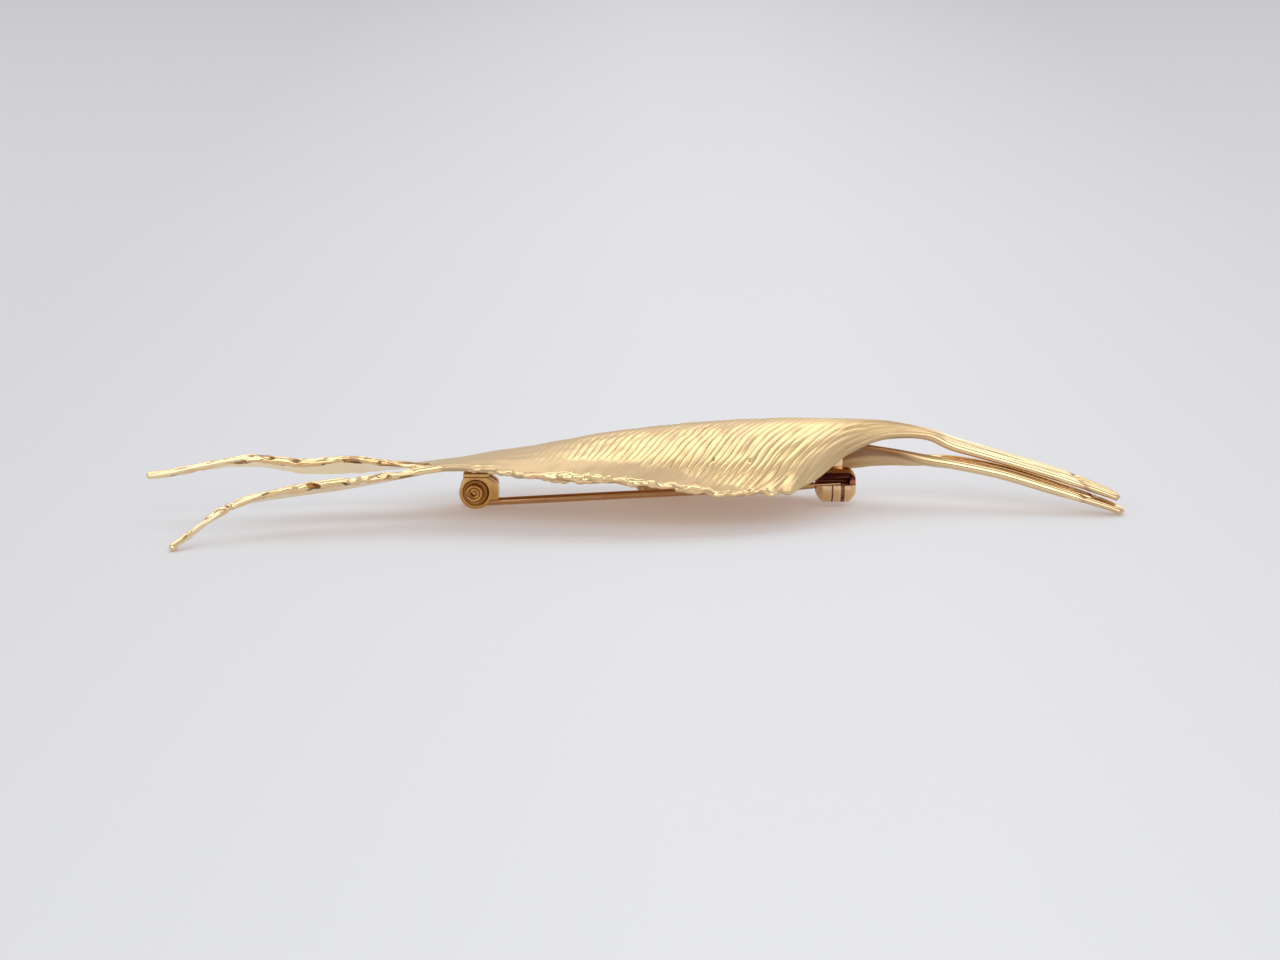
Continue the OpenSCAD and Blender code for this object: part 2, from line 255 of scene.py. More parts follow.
class Wave(NamedTuple):
    """Sizes of random waves over a sheet."""

    height: float
    across: float  # their length across the barbs, in mm
    along: float  # and along them

    def rise(self, seed: int, u: Array, v: Array) -> Array:
        """Height of the waves, at places u across the barbs and v along them."""
        return self.height * Ripple(seed, self.across, self.along)(u, v)


def add_mesh(name: str, points: Array, faces: Sequence[Face]) -> bpy.types.Object:
    """Makes a smooth shaded mesh object.

    Args:
        name: Name of the piece.
        points: Its points in mm.
        faces: Its faces.

    Returns:
        The new object.
    """
    mesh = bpy.data.meshes.new(name)
    mesh.from_pydata((np.asarray(points) * MM).tolist(), [], faces)
    mesh.update()
    mesh.polygons.foreach_set("use_smooth", np.ones(len(mesh.polygons), bool))
    piece = bpy.data.objects.new(name, mesh)
    bpy.context.scene.collection.objects.link(piece)
    return piece


def ring_faces(rings: int, around: int, wrap: bool = False) -> Array:
    """Numbers the corners of the faces between rings of points.

    Args:
        rings: How many rings there are.
        around: Points in a ring.
        wrap: Whether the last ring joins the first.

    Returns:
        Four corners to a face.
    """
    first = np.arange(rings if wrap else rings - 1)[:, None]
    here = np.arange(around)[None, :]
    after, beyond = (here + 1) % around, (first + 1) % rings
    start, end = first * around, beyond * around
    return np.stack([start + here, start + after, end + after, end + here], -1).reshape(-1, 4)


def loft(rings: Array) -> tuple[Array, list[Face]]:
    """Closes a skin over rings of points, with a fan of triangles at each end.

    Args:
        rings: Points in the order ring, point, coordinate.

    Returns:
        The points and the faces, which look outwards.
    """
    count, around, _ = rings.shape
    quads = ring_faces(count, around)
    points = np.concatenate([rings.reshape(-1, 3), rings[0].mean(0)[None], rings[-1].mean(0)[None]])
    last = (count - 1) * around
    faces = [tuple(q) for q in quads.tolist()]
    faces += [(count * around, (j + 1) % around, j) for j in range(around)]
    faces += [(count * around + 1, last + j, last + (j + 1) % around) for j in range(around)]
    corner = points[quads] - points.mean(0)
    volume = np.einsum("ij,ij->i", corner[:, 0], np.cross(corner[:, 1], corner[:, 2]))
    volume += np.einsum("ij,ij->i", corner[:, 0], np.cross(corner[:, 2], corner[:, 3]))
    if volume.sum() < 0:
        faces = [f[::-1] for f in faces]
    return points, faces


def round_ends(rings: Array, run: Array, reach: float, least: float) -> Array:
    """Draws the first and the last rings together, so that both ends are round.

    Args:
        rings: Points in the order ring, point, coordinate.
        run: Distance of each ring along the piece.
        reach: Length of the rounding.
        least: Smallest share that is left, squared.

    Returns:
        The rings with round ends.
    """
    from_end = np.minimum(run - run[0], run[-1] - run)
    share = np.sqrt(np.clip(1 - (1 - np.clip(from_end / reach, 0, 1)) ** 2, least, 1))
    centre = rings.mean(1, keepdims=True)
    return centre + (rings - centre) * share[:, None, None]


class Relief(NamedTuple):
    """What the barbs do to points of a sheet."""

    foot: Array  # x of the foot of each point's barb, on the outer edge
    shown: Array  # from 0 in a groove to 1 on a barb
    height: Array  # in mm
    matte: Array  # from 0 for satin to 1 for the frosted sheet beside the barbs


@dataclass
class Barbs:
    """The raised barbs that cross a half from its outer edge to the crest, all in mm."""

    seed: int
    crest: Knots  # x on the crest, and the foot on the outer edge of the barb that crosses there
    last_foot: float  # the barbs right of this run along the edge instead
    pitch: Knots = (  # from barb to barb, by x of the foot
        (-14.0, 0.40), (-8.0, 0.47), (-6.0, 0.56), (1.0, 0.55), (5.0, 0.52), (10.0, 0.68), (15.0, 0.88),
    )
    height: Knots = (  # of a barb over its groove, by x of the foot
        (-17.0, 0.0), (-13.0, 0.02), (-7.8, 0.034), (-6.8, 0.085), (4.0, 0.10), (9.5, 0.10), (12.0, 0.045),
        (16.0, 0.036),
    )
    band: Knots = (  # where the barbs end above the smooth band, by foot, as a place across the sheet
        (-12.0, 0.76), (-5.0, 0.79), (-1.0, 0.83), (4.0, 0.90), (7.0, 0.95), (14.0, 1.08),
    )
    bend: float = 0.35  # how far a barb sways to both sides of its straight line
    sway_l: float = 9.5  # length of the barbs that sway
    sways: tuple[Pair, Pair] = ((-14, -6), (11, 16))  # x of the edge, from straight to swaying and back
    turn_soft: float = 0.7  # how gently the feet stop at the last foot
    width: float = 9.0  # of the sheet, for waves across it
    wander: Wave = Wave(0.11, 3.4, 6.0)  # of the barbs' run, as shares of the pitch
    jitter: Wave = Wave(0.045, 1.2, 3.0)
    dome_shares: Pair = (0.78, 0.22)  # of a round back, and of a flat one with steep sides
    steep: int = 9
    ridge: Pair = (0.30, 0.28)  # place of the ridge over a barb: least, and how far it varies
    splits: Wave = Wave(0.9, 1.3, 3.6)  # where a second groove parts a barb
    split: Triple = (0.5, 0.10, 0.07)  # its depth as a share, place right of the ridge, and width
    end_varies: float = 0.05  # how far the place varies at which a barb ends
    end_l: float = 0.10  # stretch over which it fades there
    end_span: Pair = (-0.6, 0.4)  # start and end of the fading, as shares of that stretch
    faded: float = 0.97  # share of the height that is lost
    crest_fade: Pair = (0.03, 0.26)  # places between which it rises from the crest
    crest_height: float = 0.22  # share of the height that is left on the crest
    tall: Pair = (0.74, 0.52)  # share of the height: least, and how far it varies
    tall_wave: Wave = Wave(0.16, 1.6, 3.0)
    tall_limits: Pair = (0.45, 1.5)
    ground: float = 0.7  # share of the height that lies below the sheet's own face
    low: float = 0.015  # height up to which the sheet counts as bare
    full: float = 0.07  # height from which a barb has its full tone
    dull: Pair = (1.5, -0.75)  # how far a barb's dullness varies, and its least
    dull_wave: Wave = Wave(0.35, 2.2, 3.4)
    dulled: float = 0.75  # share of the frosting on the dullest barbs
    drawn: int = 997  # barbs that have random numbers of their own, before these repeat

    def foot(self, row: Array, v: Array) -> Array:
        """Finds the foot of the barb that passes each point.

        Args:
            row: Sections of the half, one to a station.
            v: Places across it.

        Returns:
            The x of the foot, by station and place.
        """
        outer, inner = row[:, OUTER_X, None], row[:, INNER_X, None]
        short = np.logaddexp(0, (self.last_foot - outer) / self.turn_soft)
        at_edge = self.last_foot - self.turn_soft * short
        at_crest = on_line(self.crest, inner)
        sway = within(outer, *self.sways)
        lean = self.sway_l * v * (1 - v) * self.bend * ((1 - v) ** 2 - v**2)
        return at_edge * v + at_crest * (1 - v) + sway * lean

    def count(self, foot: Array, across: Array) -> Array:
        """Counts the barbs from the left, with small random waves.

        Args:
            foot: Foot of the barb at each point.
            across: Distance across the sheet.

        Returns:
            The number of barbs left of each point.
        """
        grid = np.linspace(-GRID_REACH, GRID_REACH, GRID_STEPS)
        turns = np.cumsum(1 / on_line(self.pitch, grid)) * (grid[1] - grid[0])
        waves = self.wander.rise(self.seed, foot, across)
        return np.interp(foot, grid, turns) + waves + self.jitter.rise(self.seed + 1, foot, across)

    def dome(self, place: Array, top: Array, split: Array) -> Array:
        """Shapes a barb over its own width.

        Args:
            place: From 0 to 1 over the barb.
            top: Where its ridge is.
            split: How deep a second groove parts it.

        Returns:
            The share of the height.
        """
        rise = np.where(place < top, place / top, (1 - place) / (1 - top))
        round_share, flat_share = self.dome_shares
        dome = round_share * (1 - (1 - rise) ** 2) + flat_share * (1 - (1 - rise) ** self.steep)
        deep, aside, width = self.split
        return dome * (1 - deep * split * bell(place - top - aside, width))

    def relief(self, row: Array, v: Array) -> Relief:
        """Works out the barbs' relief.

        Args:
            row: Sections of the half, one to a station.
            v: Places across it.

        Returns:
            The relief at each station and place.
        """
        foot = self.foot(row, v)
        v = v + 0 * foot
        across = self.width * v
        count = self.count(foot, across)
        table = np.random.default_rng(self.seed + 4).uniform(size=(self.drawn, 3))
        lean, tall, sheen = np.moveaxis(table[np.floor(count).astype(int) % self.drawn], -1, 0)
        split = np.clip(self.splits.rise(self.seed + 6, foot, across), 0, 1)
        dome = self.dome(count % 1, self.ridge[0] + self.ridge[1] * lean, split)
        end = on_line(self.band, foot) + self.end_varies * (sheen - 0.5)
        fade = 1 - self.faded * ease((v - end) / self.end_l, *self.end_span)
        fade = fade * (self.crest_height + (1 - self.crest_height) * ease(v, *self.crest_fade))
        height = on_line(self.height, foot) * fade
        uneven = self.tall[0] + self.tall[1] * tall + self.tall_wave.rise(self.seed + 3, foot, across)
        rise = height * (np.clip(uneven, *self.tall_limits) * dome - self.ground)
        shown = 1 - (1 - dome) * np.clip(height / self.full, 0, 1)
        dull = self.dull[0] * sheen + self.dull[1] + self.dull_wave.rise(self.seed + 8, foot, across)
        matte = np.maximum(1 - ease(height, self.low, self.full), self.dulled * np.clip(dull, 0, 1))
        return Relief(foot, shown, rise, matte)


class Strip(NamedTuple):
    """One side or edge of a half: points by section and place, and what the finish reads at each."""

    points: Array
    lay: Array  # x of the foot of the barb there
    relief: Array
    matte: Array


class Groove(NamedTuple):
    """A lengthwise groove in the quill."""

    depth: float
    place: float  # across the half
    width: float
    reach: tuple[Pair, Pair]  # x over which it comes and goes
    way: int  # in which direction it wanders


@dataclass
class Half:
    """One half of the feather: a ribbed sheet with a tail at the left and a quill at the right.

    Sizes are in mm, but places and widths across the half are shares of its width.
    """

    name: str
    rows: tuple[Row, ...]
    barbs: Barbs
    seed: int
    sheet_t: float = 0.45
    tail_thinner: float = 0.45  # share by which the tail's edges are thinner
    thickens: Pair = (-15.5, -12.0)  # x of the inner edge, from thin to full
    lip_bow: float = 0.16  # share of the bow by which the sheet swells beside its outer edge
    lip_at: Pair = (0.80, 0.13)  # place and width of that swelling
    ragged: Pair = (0.10, 1.9)  # height and length of the outer edge's waves
    wave: Wave = Wave(0.012, 2.6, 2.2)  # of the upper face
    under_barbs: float = 0.3  # share of the barbs' height that shows on the underside
    under_grooves: float = 0.6  # and of the depth of the quill's grooves
    end_round: Pair = (0.3, 0.04)  # length of the rounded ends, and least share there, squared
    stations: int = 1150
    top_strips: int = 62
    under_strips: int = 14
    sparse: float = 0.28  # how densely the stations lie on the tail and the quill, against the body
    body: Pair = (-16.0, 25.0)  # x of the ribbed part's ends
    body_fade: float = 3.0  # how far outside them the stations get sparse
    polish_left: Pair = (18.0, 22.0)  # how far left of the origin the polish of the tail sets in
    polish_right: Pair = (22.0, 27.0)  # and right of it that of the quill
    pale_left: Pair = (19.0, 24.0)  # the same for the tail's pale tone, a painted reflection of the white table
    pale_right: Pair = (24.0, 28.0)  # and for the quill's
    quill_pale: float = 0.5  # share of that painted pale reflection on the quill
    neck_x: tuple[Pair, Pair] = ((15.5, 19.0), (24.5, 27.5))  # over which the next tone comes and goes
    neck_dark: float = 0.22  # share of the dark tone where the body narrows to the quill
    tip_x: Pair = (36.9, 37.9)  # over which the next one comes
    tip_dark: float = 0.30  # share of the dark tone at the quill's end
    tucked_shade: float = 0.0  # how dark the painted shade is on the metal that lies under the other half
    tucked_x: tuple[Pair, Pair] = ((-17.0, -13.0), (21.0, 24.5))  # over which that comes and goes
    tucked_above: float = 0.4  # distance from the inner edge over which the upper face carries the full painted shade
    tucked_fades: Pair = (1.1, 2.2)  # distance over which that painted shade fades out on the underside and above
    tucked_below: Knots = (  # the same distance for the underside, by x
        (14.0, 3.6), (17.0, 3.3), (18.5, 2.0), (20.0, 1.0), (22.0, 0.2),
    )
    flank_shade: float = 0.0  # how dark the painted shade is on the quill's rounded front edge, growing towards the underside
    flank_x: tuple[Pair, Pair] = ((24.5, 27.5), (35.5, 37.0))  # over which that comes and goes
    flute_shade: float = 3.2  # how dark the painted shade in the quill's grooves and its nick is, for each mm of depth
    grooves: tuple[Groove, ...] = (
        Groove(0.13, 0.40, 0.055, ((23.0, 27.5), (37.5, 39.8)), 1),
        Groove(0.09, 0.72, 0.045, ((25.0, 30.0), (35.0, 37.0)), -1),
    )
    groove_drift: float = 0.05  # how far the grooves wander across
    groove_bend: float = 0.35  # and how fast, in radians to a mm
    nick: float = 37.6  # x of the dent where the quill's tip turns
    nick_lean: float = 0.9  # how much further right it lies at the outer edge than at the inner
    nick_deep: float = 0.15
    nick_w: float = 0.24
    nick_fade: float = 0.25  # distance from the middle over which it deepens, as a share of the width
    pits: tuple[Pair, ...] = ()  # x and y of small pits in the top
    pit_r: float = 0.13
    pit_deep: float = 0.12
    # how dark the painted shade in the pits is
    pit_shade: float = 0.6

    def row(self, s: Array) -> Array:
        """Runs a smooth curve through the rows.

        Args:
            s: Positions counted in rows.

        Returns:
            One section for each position.
        """
        table = np.array(self.rows)
        last = len(table) - 1
        i = np.minimum(np.floor(s).astype(int), last - 1)
        f = (s - i)[:, None]
        a, b = table[np.maximum(i - 1, 0)], table[i]
        c, d = table[i + 1], table[np.minimum(i + 2, last)]
        square, cube = 2 * a - 5 * b + 4 * c - d, 3 * b - a - 3 * c + d
        return 0.5 * (2 * b + (c - a) * f + square * f**2 + cube * f**3)

    def middle(self, s: Array, v: Array) -> Array:
        """Finds points on the sheet's middle surface.

        Args:
            s: Positions counted in rows.
            v: Places across, from 0 at the inner edge to 1 at the outer.

        Returns:
            Points in mm, by position and place.
        """
        last = len(self.rows) - 1
        s = np.clip(s, 0, last)
        row = self.row(s)
        ahead, behind = self.row(np.minimum(s + ROW_STEP, last)), self.row(np.maximum(s - ROW_STEP, 0))
        chord = row[:, 0:3] - row[:, 3:6]
        run = ahead[:, 0:3] + ahead[:, 3:6] - behind[:, 0:3] - behind[:, 3:6]
        up = unit(np.cross(chord, run))
        up = np.where(up[:, 2:3] < 0, -up, up)
        deep, long = self.ragged
        ragged = deep * row[:, RAG] * Ripple(self.seed, long, 1.0)(row[:, OUTER_X], 0 * s)
        v = v[None, :, None]
        points = row[:, None, 3:6] + v * chord[:, None]
        swell = 4 * v * (1 - v) + self.lip_bow * bell(v - self.lip_at[0], self.lip_at[1]) * (1 - v**8)
        points = points + swell * row[:, None, BOW : BOW + 1] * up[:, None]
        return points + v**4 * ragged[:, None, None] * unit(chord)[:, None]

    def cross(self, s: Array, v: Array) -> Array:
        """Cross product of the sheet's two directions at each position and place."""
        along = self.middle(s + NUDGE, v) - self.middle(s - NUDGE, v)
        return np.cross(along, self.middle(s, v + NUDGE) - self.middle(s, v - NUDGE))

    def normal(self, s: Array, v: Array) -> Array:
        """Finds the middle surface's normals, which look up on the body.

        Args:
            s: Positions counted in rows.
            v: Places across.

        Returns:
            Unit vectors, by position and place.
        """
        on_body = self.cross(np.array([0.5 * (len(self.rows) - 1)]), np.array([0.5]))
        return unit(self.cross(s, v)) * (1.0 if on_body[0, 0, 2] > 0 else -1.0)

    def thickness(self, row: Array, v: Array) -> Array:
        """Works out the sheet's thickness.

        Args:
            row: Sections of the half, one to a station.
            v: Places across it.

        Returns:
            The thickness in mm, by station and place.
        """
        tail = 1 - self.tail_thinner * (1 - ease(row[:, INNER_X, None], *self.thickens))
        outer, inner = tail * row[:, OUTER_T, None], tail * row[:, INNER_T, None]
        return self.sheet_t + (outer - self.sheet_t) * v**3 + (inner - self.sheet_t) * (1 - v) ** 3

    def flutes(self, x: Array, v: Array) -> Array:
        """Shapes the lengthwise grooves in the quill, which wander a little, and the nick near its tip.

        Args:
            x: Places along the feather.
            v: Places across the half.

        Returns:
            The depth in mm.
        """
        drift = self.groove_drift * np.sin(self.groove_bend * x + self.seed)
        depth = 0.0
        for groove in self.grooves:
            aside = v - groove.place - groove.way * drift
            depth = depth + groove.depth * bell(aside, groove.width) * within(x, *groove.reach)
        nick = self.nick + self.nick_lean * (v - 0.5)
        fade = ease(np.abs(v - 0.5), 0.0, self.nick_fade)
        return depth + self.nick_deep * bell(x - nick, self.nick_w) * fade

    def spaced(self) -> tuple[Array, Array]:
        """Spaces the stations closely on the body and wider on the tail and the quill.

        Returns:
            Positions counted in rows, and the distance of each along the half in mm.
        """
        s = np.linspace(0, len(self.rows) - 1, GRID_STEPS)
        line = self.middle(s, np.array([0.5]))[:, 0]
        step = np.linalg.norm(np.diff(line, axis=0), axis=1)
        run = np.concatenate([[0], np.cumsum(step)])
        x = 0.5 * (line[1:, 0] + line[:-1, 0])
        left, right = self.body
        on_body = within(x, (left - self.body_fade, left), (right, right + self.body_fade))
        cost = np.concatenate([[0], np.cumsum(step * (self.sparse + (1 - self.sparse) * on_body))])
        picked = np.interp(np.linspace(0, cost[-1], self.stations), cost, s)
        return picked, np.interp(picked, s, run)

    def upper(self, s: Array, row: Array, v: Array) -> Strip:
        """Shapes the upper face, with its barbs, waves, grooves and pits.

        Args:
            s: Positions counted in rows.
            row: The sections there.
            v: Places across.

        Returns:
            The strip, from the inner edge to the outer.
        """
        foot, relief, height, matte = self.barbs.relief(row, v[None])
        middle = self.middle(s, v)
        wave = self.wave.rise(self.seed + 5, foot, self.barbs.width * v[None] + 0 * foot)
        pit = self.pitted(middle)
        rise = self.thickness(row, v[None]) / 2 + height + wave - self.pit_deep * pit
        rise = rise - self.flutes(row[:, INNER_X, None], v[None])
        return Strip(middle + self.normal(s, v) * rise[..., None], foot, relief * (1 - pit), matte)

    def under(self, s: Array, row: Array, v: Array) -> Strip:
        """Shapes the underside, on which the barbs and grooves show faintly.

        Args:
            s: Positions counted in rows.
            row: The sections there.
            v: Places across.

        Returns:
            The strip, in the order of v.
        """
        foot, relief, height, matte = self.barbs.relief(row, v[None])
        flute = self.flutes(row[:, INNER_X, None], v[None])
        drop = self.thickness(row, v[None]) / 2 - self.under_barbs * height - self.under_grooves * flute
        return Strip(self.middle(s, v) - self.normal(s, v) * drop[..., None], foot, relief, matte)

    def lip(self, s: Array, row: Array, upper: Strip, edge: Edge) -> Strip:
        """Rounds one long edge.

        Args:
            s: Positions counted in rows.
            row: The sections there.
            upper: The upper face.
            edge: Which edge it is.

        Returns:
            The strip, which runs on from the face before it.
        """
        v = np.array([edge.value, abs(edge.value - 1 / self.top_strips)])
        line, normal = self.middle(s, v), self.normal(s, v)[:, 0]
        out = unit(line[:, 0] - line[:, 1])
        radius = self.thickness(row, v[None, :1]) / 2
        turns = np.radians((45, 90, 135) if edge is Edge.OUTER else (135, 90, 45))
        spokes = [math.cos(a) * normal + math.sin(a) * out for a in turns]
        ring = np.stack([line[:, 0] + radius * spoke for spoke in spokes], 1)
        column = -1 if edge is Edge.OUTER else 0
        return Strip(ring, *(np.repeat(values[:, column, None], len(turns), 1) for values in upper[1:]))

    def build(self) -> bpy.types.Object:
        """Builds the closed sheet with its relief.

        Returns:
            The piece, with a lay of the barbs as UV map and the values that its finish reads as attributes.
        """
        s, run = self.spaced()
        row = self.row(s)
        v_top, v_under = np.linspace(0, 1, self.top_strips + 1), np.linspace(1, 0, self.under_strips + 1)
        upper = self.upper(s, row, v_top)
        strips = (upper, self.lip(s, row, upper, Edge.OUTER), self.under(s, row, v_under),
                  self.lip(s, row, upper, Edge.INNER))
        ring, lay, relief, matte = (np.concatenate(parts, 1) for parts in zip(*strips))
        places = np.concatenate([v_top, [1, 1, 1], v_under, [0, 0, 0]])[None]
        low = np.concatenate([0 * v_top, [0.0, 0.5, 0.9], 0 * v_under + 1, [0.9, 0.5, 0.0]])
        ring = round_ends(ring, run, *self.end_round)
        piece = add_mesh(self.name, *loft(ring))
        across = places * np.linalg.norm(row[:, 0:3] - row[:, 3:6], axis=1)[:, None]
        x = ring[..., 0]
        self.dress(piece, lay, across, {
            "relief": relief,
            "matte": matte,
            # painted shade, with more of it in the pits on the top
            "shade": self.shade(x, places, across, low) + self.pit_shade * self.pitted(ring) * (1 - low),
            # a painted pale reflection on the tails and quills
            "pale": ease(-x, *self.pale_left) + self.quill_pale * ease(x, *self.pale_right),
            "polish": ease(-x, *self.polish_left) + ease(x, *self.polish_right),
        })
        return piece

    def pitted(self, points: Array) -> Array:
        """Finds the pits.

        Args:
            points: Points by section and place.

        Returns:
            How deep each point lies in a pit, from 0 to 1.
        """
        depth = np.zeros(points.shape[:2])
        for x, y in self.pits:
            depth += np.exp(-((points[..., 0] - x) ** 2 + (points[..., 1] - y) ** 2) / self.pit_r**2)
        return np.minimum(depth, 1)

    def shade(self, x: Array, v: Array, across: Array, low: Array) -> Array:
        """Works out the painted shade: under the other half, on the quill's rounded front edge and in its
        grooves and nick, with a darker tone where the body narrows to the quill and at its tip.

        Args:
            x: Each point's place along the feather.
            v: Its place across.
            across: Its distance from the inner edge.
            low: How far each point round a section is towards the underside, from 0 to 1.

        Returns:
            The share of the painted shade's dark tone at each point.
        """
        below = low > 0.95
        start = np.where(below, on_line(self.tucked_below, x), self.tucked_above)
        end = start + np.where(below, *self.tucked_fades)
        tucked_shade = self.tucked_shade * (1 - ease((across - start) / (end - start), 0.0, 1.0))
        tucked_shade = tucked_shade * within(x, *self.tucked_x)
        flank_shade = self.flank_shade * np.where(below, 0.0, low) * within(x, *self.flank_x)
        neck = self.neck_dark * within(x, *self.neck_x)
        tip = self.tip_dark * ease(x, *self.tip_x)
        return np.clip(tucked_shade + flank_shade + neck + self.flute_shade * self.flutes(x, v) + tip, 0, 1)

    def dress(self, piece: bpy.types.Object, lay: Array, across: Array, marks: dict[str, Array]) -> None:
        """Writes the UV map and the attributes that the finish reads.

        Args:
            piece: The sheet.
            lay: Foot of the barb through each point of the rings.
            across: Distance of each point from the inner edge.
            marks: Values of the points by the name of their attribute.
        """
        mesh = piece.data

        def at_points(values: Array) -> Array:
            """Adds the values of the two end fans' middle points."""
            return np.concatenate([values.ravel(), values[[0, -1], 0]]).astype(np.float32)

        uv = np.stack([at_points(lay), at_points(across)], 1)
        corner = np.zeros(len(mesh.loops), np.int32)
        mesh.loops.foreach_get("vertex_index", corner)
        mesh.uv_layers.new(name="lay").data.foreach_set("uv", uv[corner].ravel())
        for name, values in marks.items():
            mesh.attributes.new(name, "FLOAT", "POINT").data.foreach_set("value", at_points(values))


@dataclass
class Bead:
    """A melted, lumpy bead of metal along one edge of a half."""

    name: str
    half: Half
    edge: Edge
    reach: Pair  # from this x to that one
    radius: Knots
    seed: int
    lump: Triple = (0.42, 0.35, 0.13)  # length, width and height of a lump
    lump_l: Pair = (0.6, 1.7)  # least and greatest share of that length
    lump_w: Pair = (0.7, 1.5)  # and of that width
    lump_h: Pair = (0.25, 1.15)  # least share of that height, and how far it varies
    skew: Pair = (-0.8, 0.8)  # how a lump lies aslant
    sunk: float = 0.3  # share of the height by which the lumps are sunk into the bead
    ground: float = -0.6  # height of the bare bead between them, as a share of theirs
    dense: float = 1.3  # how closely the lumps lie
    inset: float = 0.08  # distance of the bead's middle from the edge
    facets: float = 0.0  # hammered facets to a mm of length
    plump: float = 0.14  # share by which a hammered bead is thicker between its facets
    facet_l: Pair = (0.5, 1.9)  # shortest and longest facet
    facet_flat: Pair = (0.62, 0.92)  # its distance from the bead's middle, as a share of the radius
    facet_lean: Pair = (-0.25, 0.25)  # how it slopes along the bead
    facet_bow: float = 0.35  # how it curves along the bead
    facet_twist: float = 0.5  # and how it turns round it, in radians
    least_cut: float = 0.5  # least share of the radius that is left
    plain: float = 0.8  # tone between the facets
    bright: float = 0.52  # share of the facets that get a bright painted reflection
    dull: Pair = (0.0, 0.5)  # tone of the dark painted reflection on the others
    to_middle: Knots = ((0.0, 0.0),)  # how far the bead moves from the edge to half the sheet's width
    step: float = 0.05  # from ring to ring
    fine: int = 4001  # steps in which the edge is first followed
    inside: float = 0.05  # place inside the edge from which the outward direction is taken
    sides: int = 28
    least_r: float = 0.02
    table_gap: float = 0.03  # lowest z of the bead
    full_tone: float = 1.05  # share of a lump's height from which its tone is full, free of painted shade
    under_shade: float = 0.30  # how much painted shade darkens the tone on the underside
    under_turn: float = 0.4  # how far that painted shade is turned inwards, in radians
    end_round: Pair = (0.28, 0.02)  # length of the rounded ends, and least share there, squared

    def path(self) -> tuple[Array, Array, Array, Array]:
        """Runs along the edge.

        Returns:
            Centre points, the sheet's normals, the outward directions, and distances in mm.
        """
        s = np.linspace(0, len(self.half.rows) - 1, self.fine)
        x = self.half.row(s)[:, OUTER_X if self.edge is Edge.OUTER else INNER_X]
        s = s[(x >= self.reach[0]) & (x <= self.reach[1])]
        v = np.array([self.edge.value])
        line = self.half.middle(s, v)[:, 0]
        run = np.concatenate([[0], np.cumsum(np.linalg.norm(np.diff(line, axis=0), axis=1))])
        even = np.linspace(0, run[-1], int(run[-1] / self.step) + 1)
        s = np.interp(even, run, s)
        edge = self.half.middle(s, v)[:, 0]
        out = unit(edge - self.half.middle(s, np.array([abs(self.edge.value - self.inside)]))[:, 0])
        share = on_line(self.to_middle, edge[:, 0])[:, None]
        centre = edge + share * (self.half.middle(s, np.array([0.5]))[:, 0] - edge)
        return centre - self.inset * out, self.half.normal(s, v)[:, 0], out, even

    def lumps(self, run: Array, around: Array, girth: float) -> Array:
        """Heaps rounded lumps over the bead; where they meet, they crease.

        Args:
            run: Distances along the bead.
            around: Distances round it.
            girth: Distance once round.

        Returns:
            Height in mm by distance along and round.
        """
        length, width, height = self.lump
        draw = np.random.default_rng(self.seed)
        heap = np.full((len(run), len(around)), self.ground * height)
        for _ in range(int(self.dense * run[-1] * girth / (length * width * 2))):
            at, side = draw.uniform(0, run[-1]), draw.uniform(0, girth)
            long = length * draw.uniform(*self.lump_l)
            wide = width * draw.uniform(*self.lump_w)
            tall = height * (self.lump_h[0] + self.lump_h[1] * draw.uniform() ** 2)
            skew = draw.uniform(*self.skew)
            near = np.abs(run - at) < 2.2 * long
            across = (around - side + girth / 2) % girth - girth / 2
            ahead = (run[near] - at)[:, None] + skew * across[None]
            dome = 1 - (ahead / long) ** 2 - (across[None] / wide) ** 2
            heap[near] = np.maximum(heap[near], tall * dome - self.sunk * height)
        return heap

    def hammered(self, run: Array, turn: Array, radius: Array) -> tuple[Array, Array]:
        """Flattens the round bead with random facets.

        Args:
            run: Distances along the bead.
            turn: Angles round it.
            radius: Its radius at each distance.

        Returns:
            The radius by distance and angle, and a painted reflection tone from 0 for dark to 1 for bright
            there.
        """
        draw = np.random.default_rng(self.seed + 7)
        tone = np.full((len(run), len(turn)), self.plain)
        size = np.repeat(radius[:, None] * (1.0 + self.plump * (self.facets > 0)), len(turn), 1)
        for _ in range(int(self.facets * run[-1])):
            at, side = draw.uniform(0, run[-1]), draw.uniform(0, TURN)
            long, flat = draw.uniform(*self.facet_l), draw.uniform(*self.facet_flat)
            lean = draw.uniform(*self.facet_lean)
            ahead = (run - at) / long
            near = np.abs(ahead) < 1.6
            depth = radius[near] * (flat + self.facet_bow * ahead[near] ** 2 + lean * ahead[near])
            facing = np.maximum(np.cos(turn[None] - side - self.facet_twist * ahead[near, None]), 0.25)
            cut = np.maximum(depth[:, None] / facing, self.least_cut * radius[near, None])
            # each facet gets a painted reflection: about half a bright one, the others a darker one at
            # random
            shine = 1.0 if draw.uniform() < self.bright else draw.uniform(*self.dull)
            tone[near] = np.where(cut < size[near], shine, tone[near])
            size[near] = np.minimum(size[near], cut)
        return size, tone

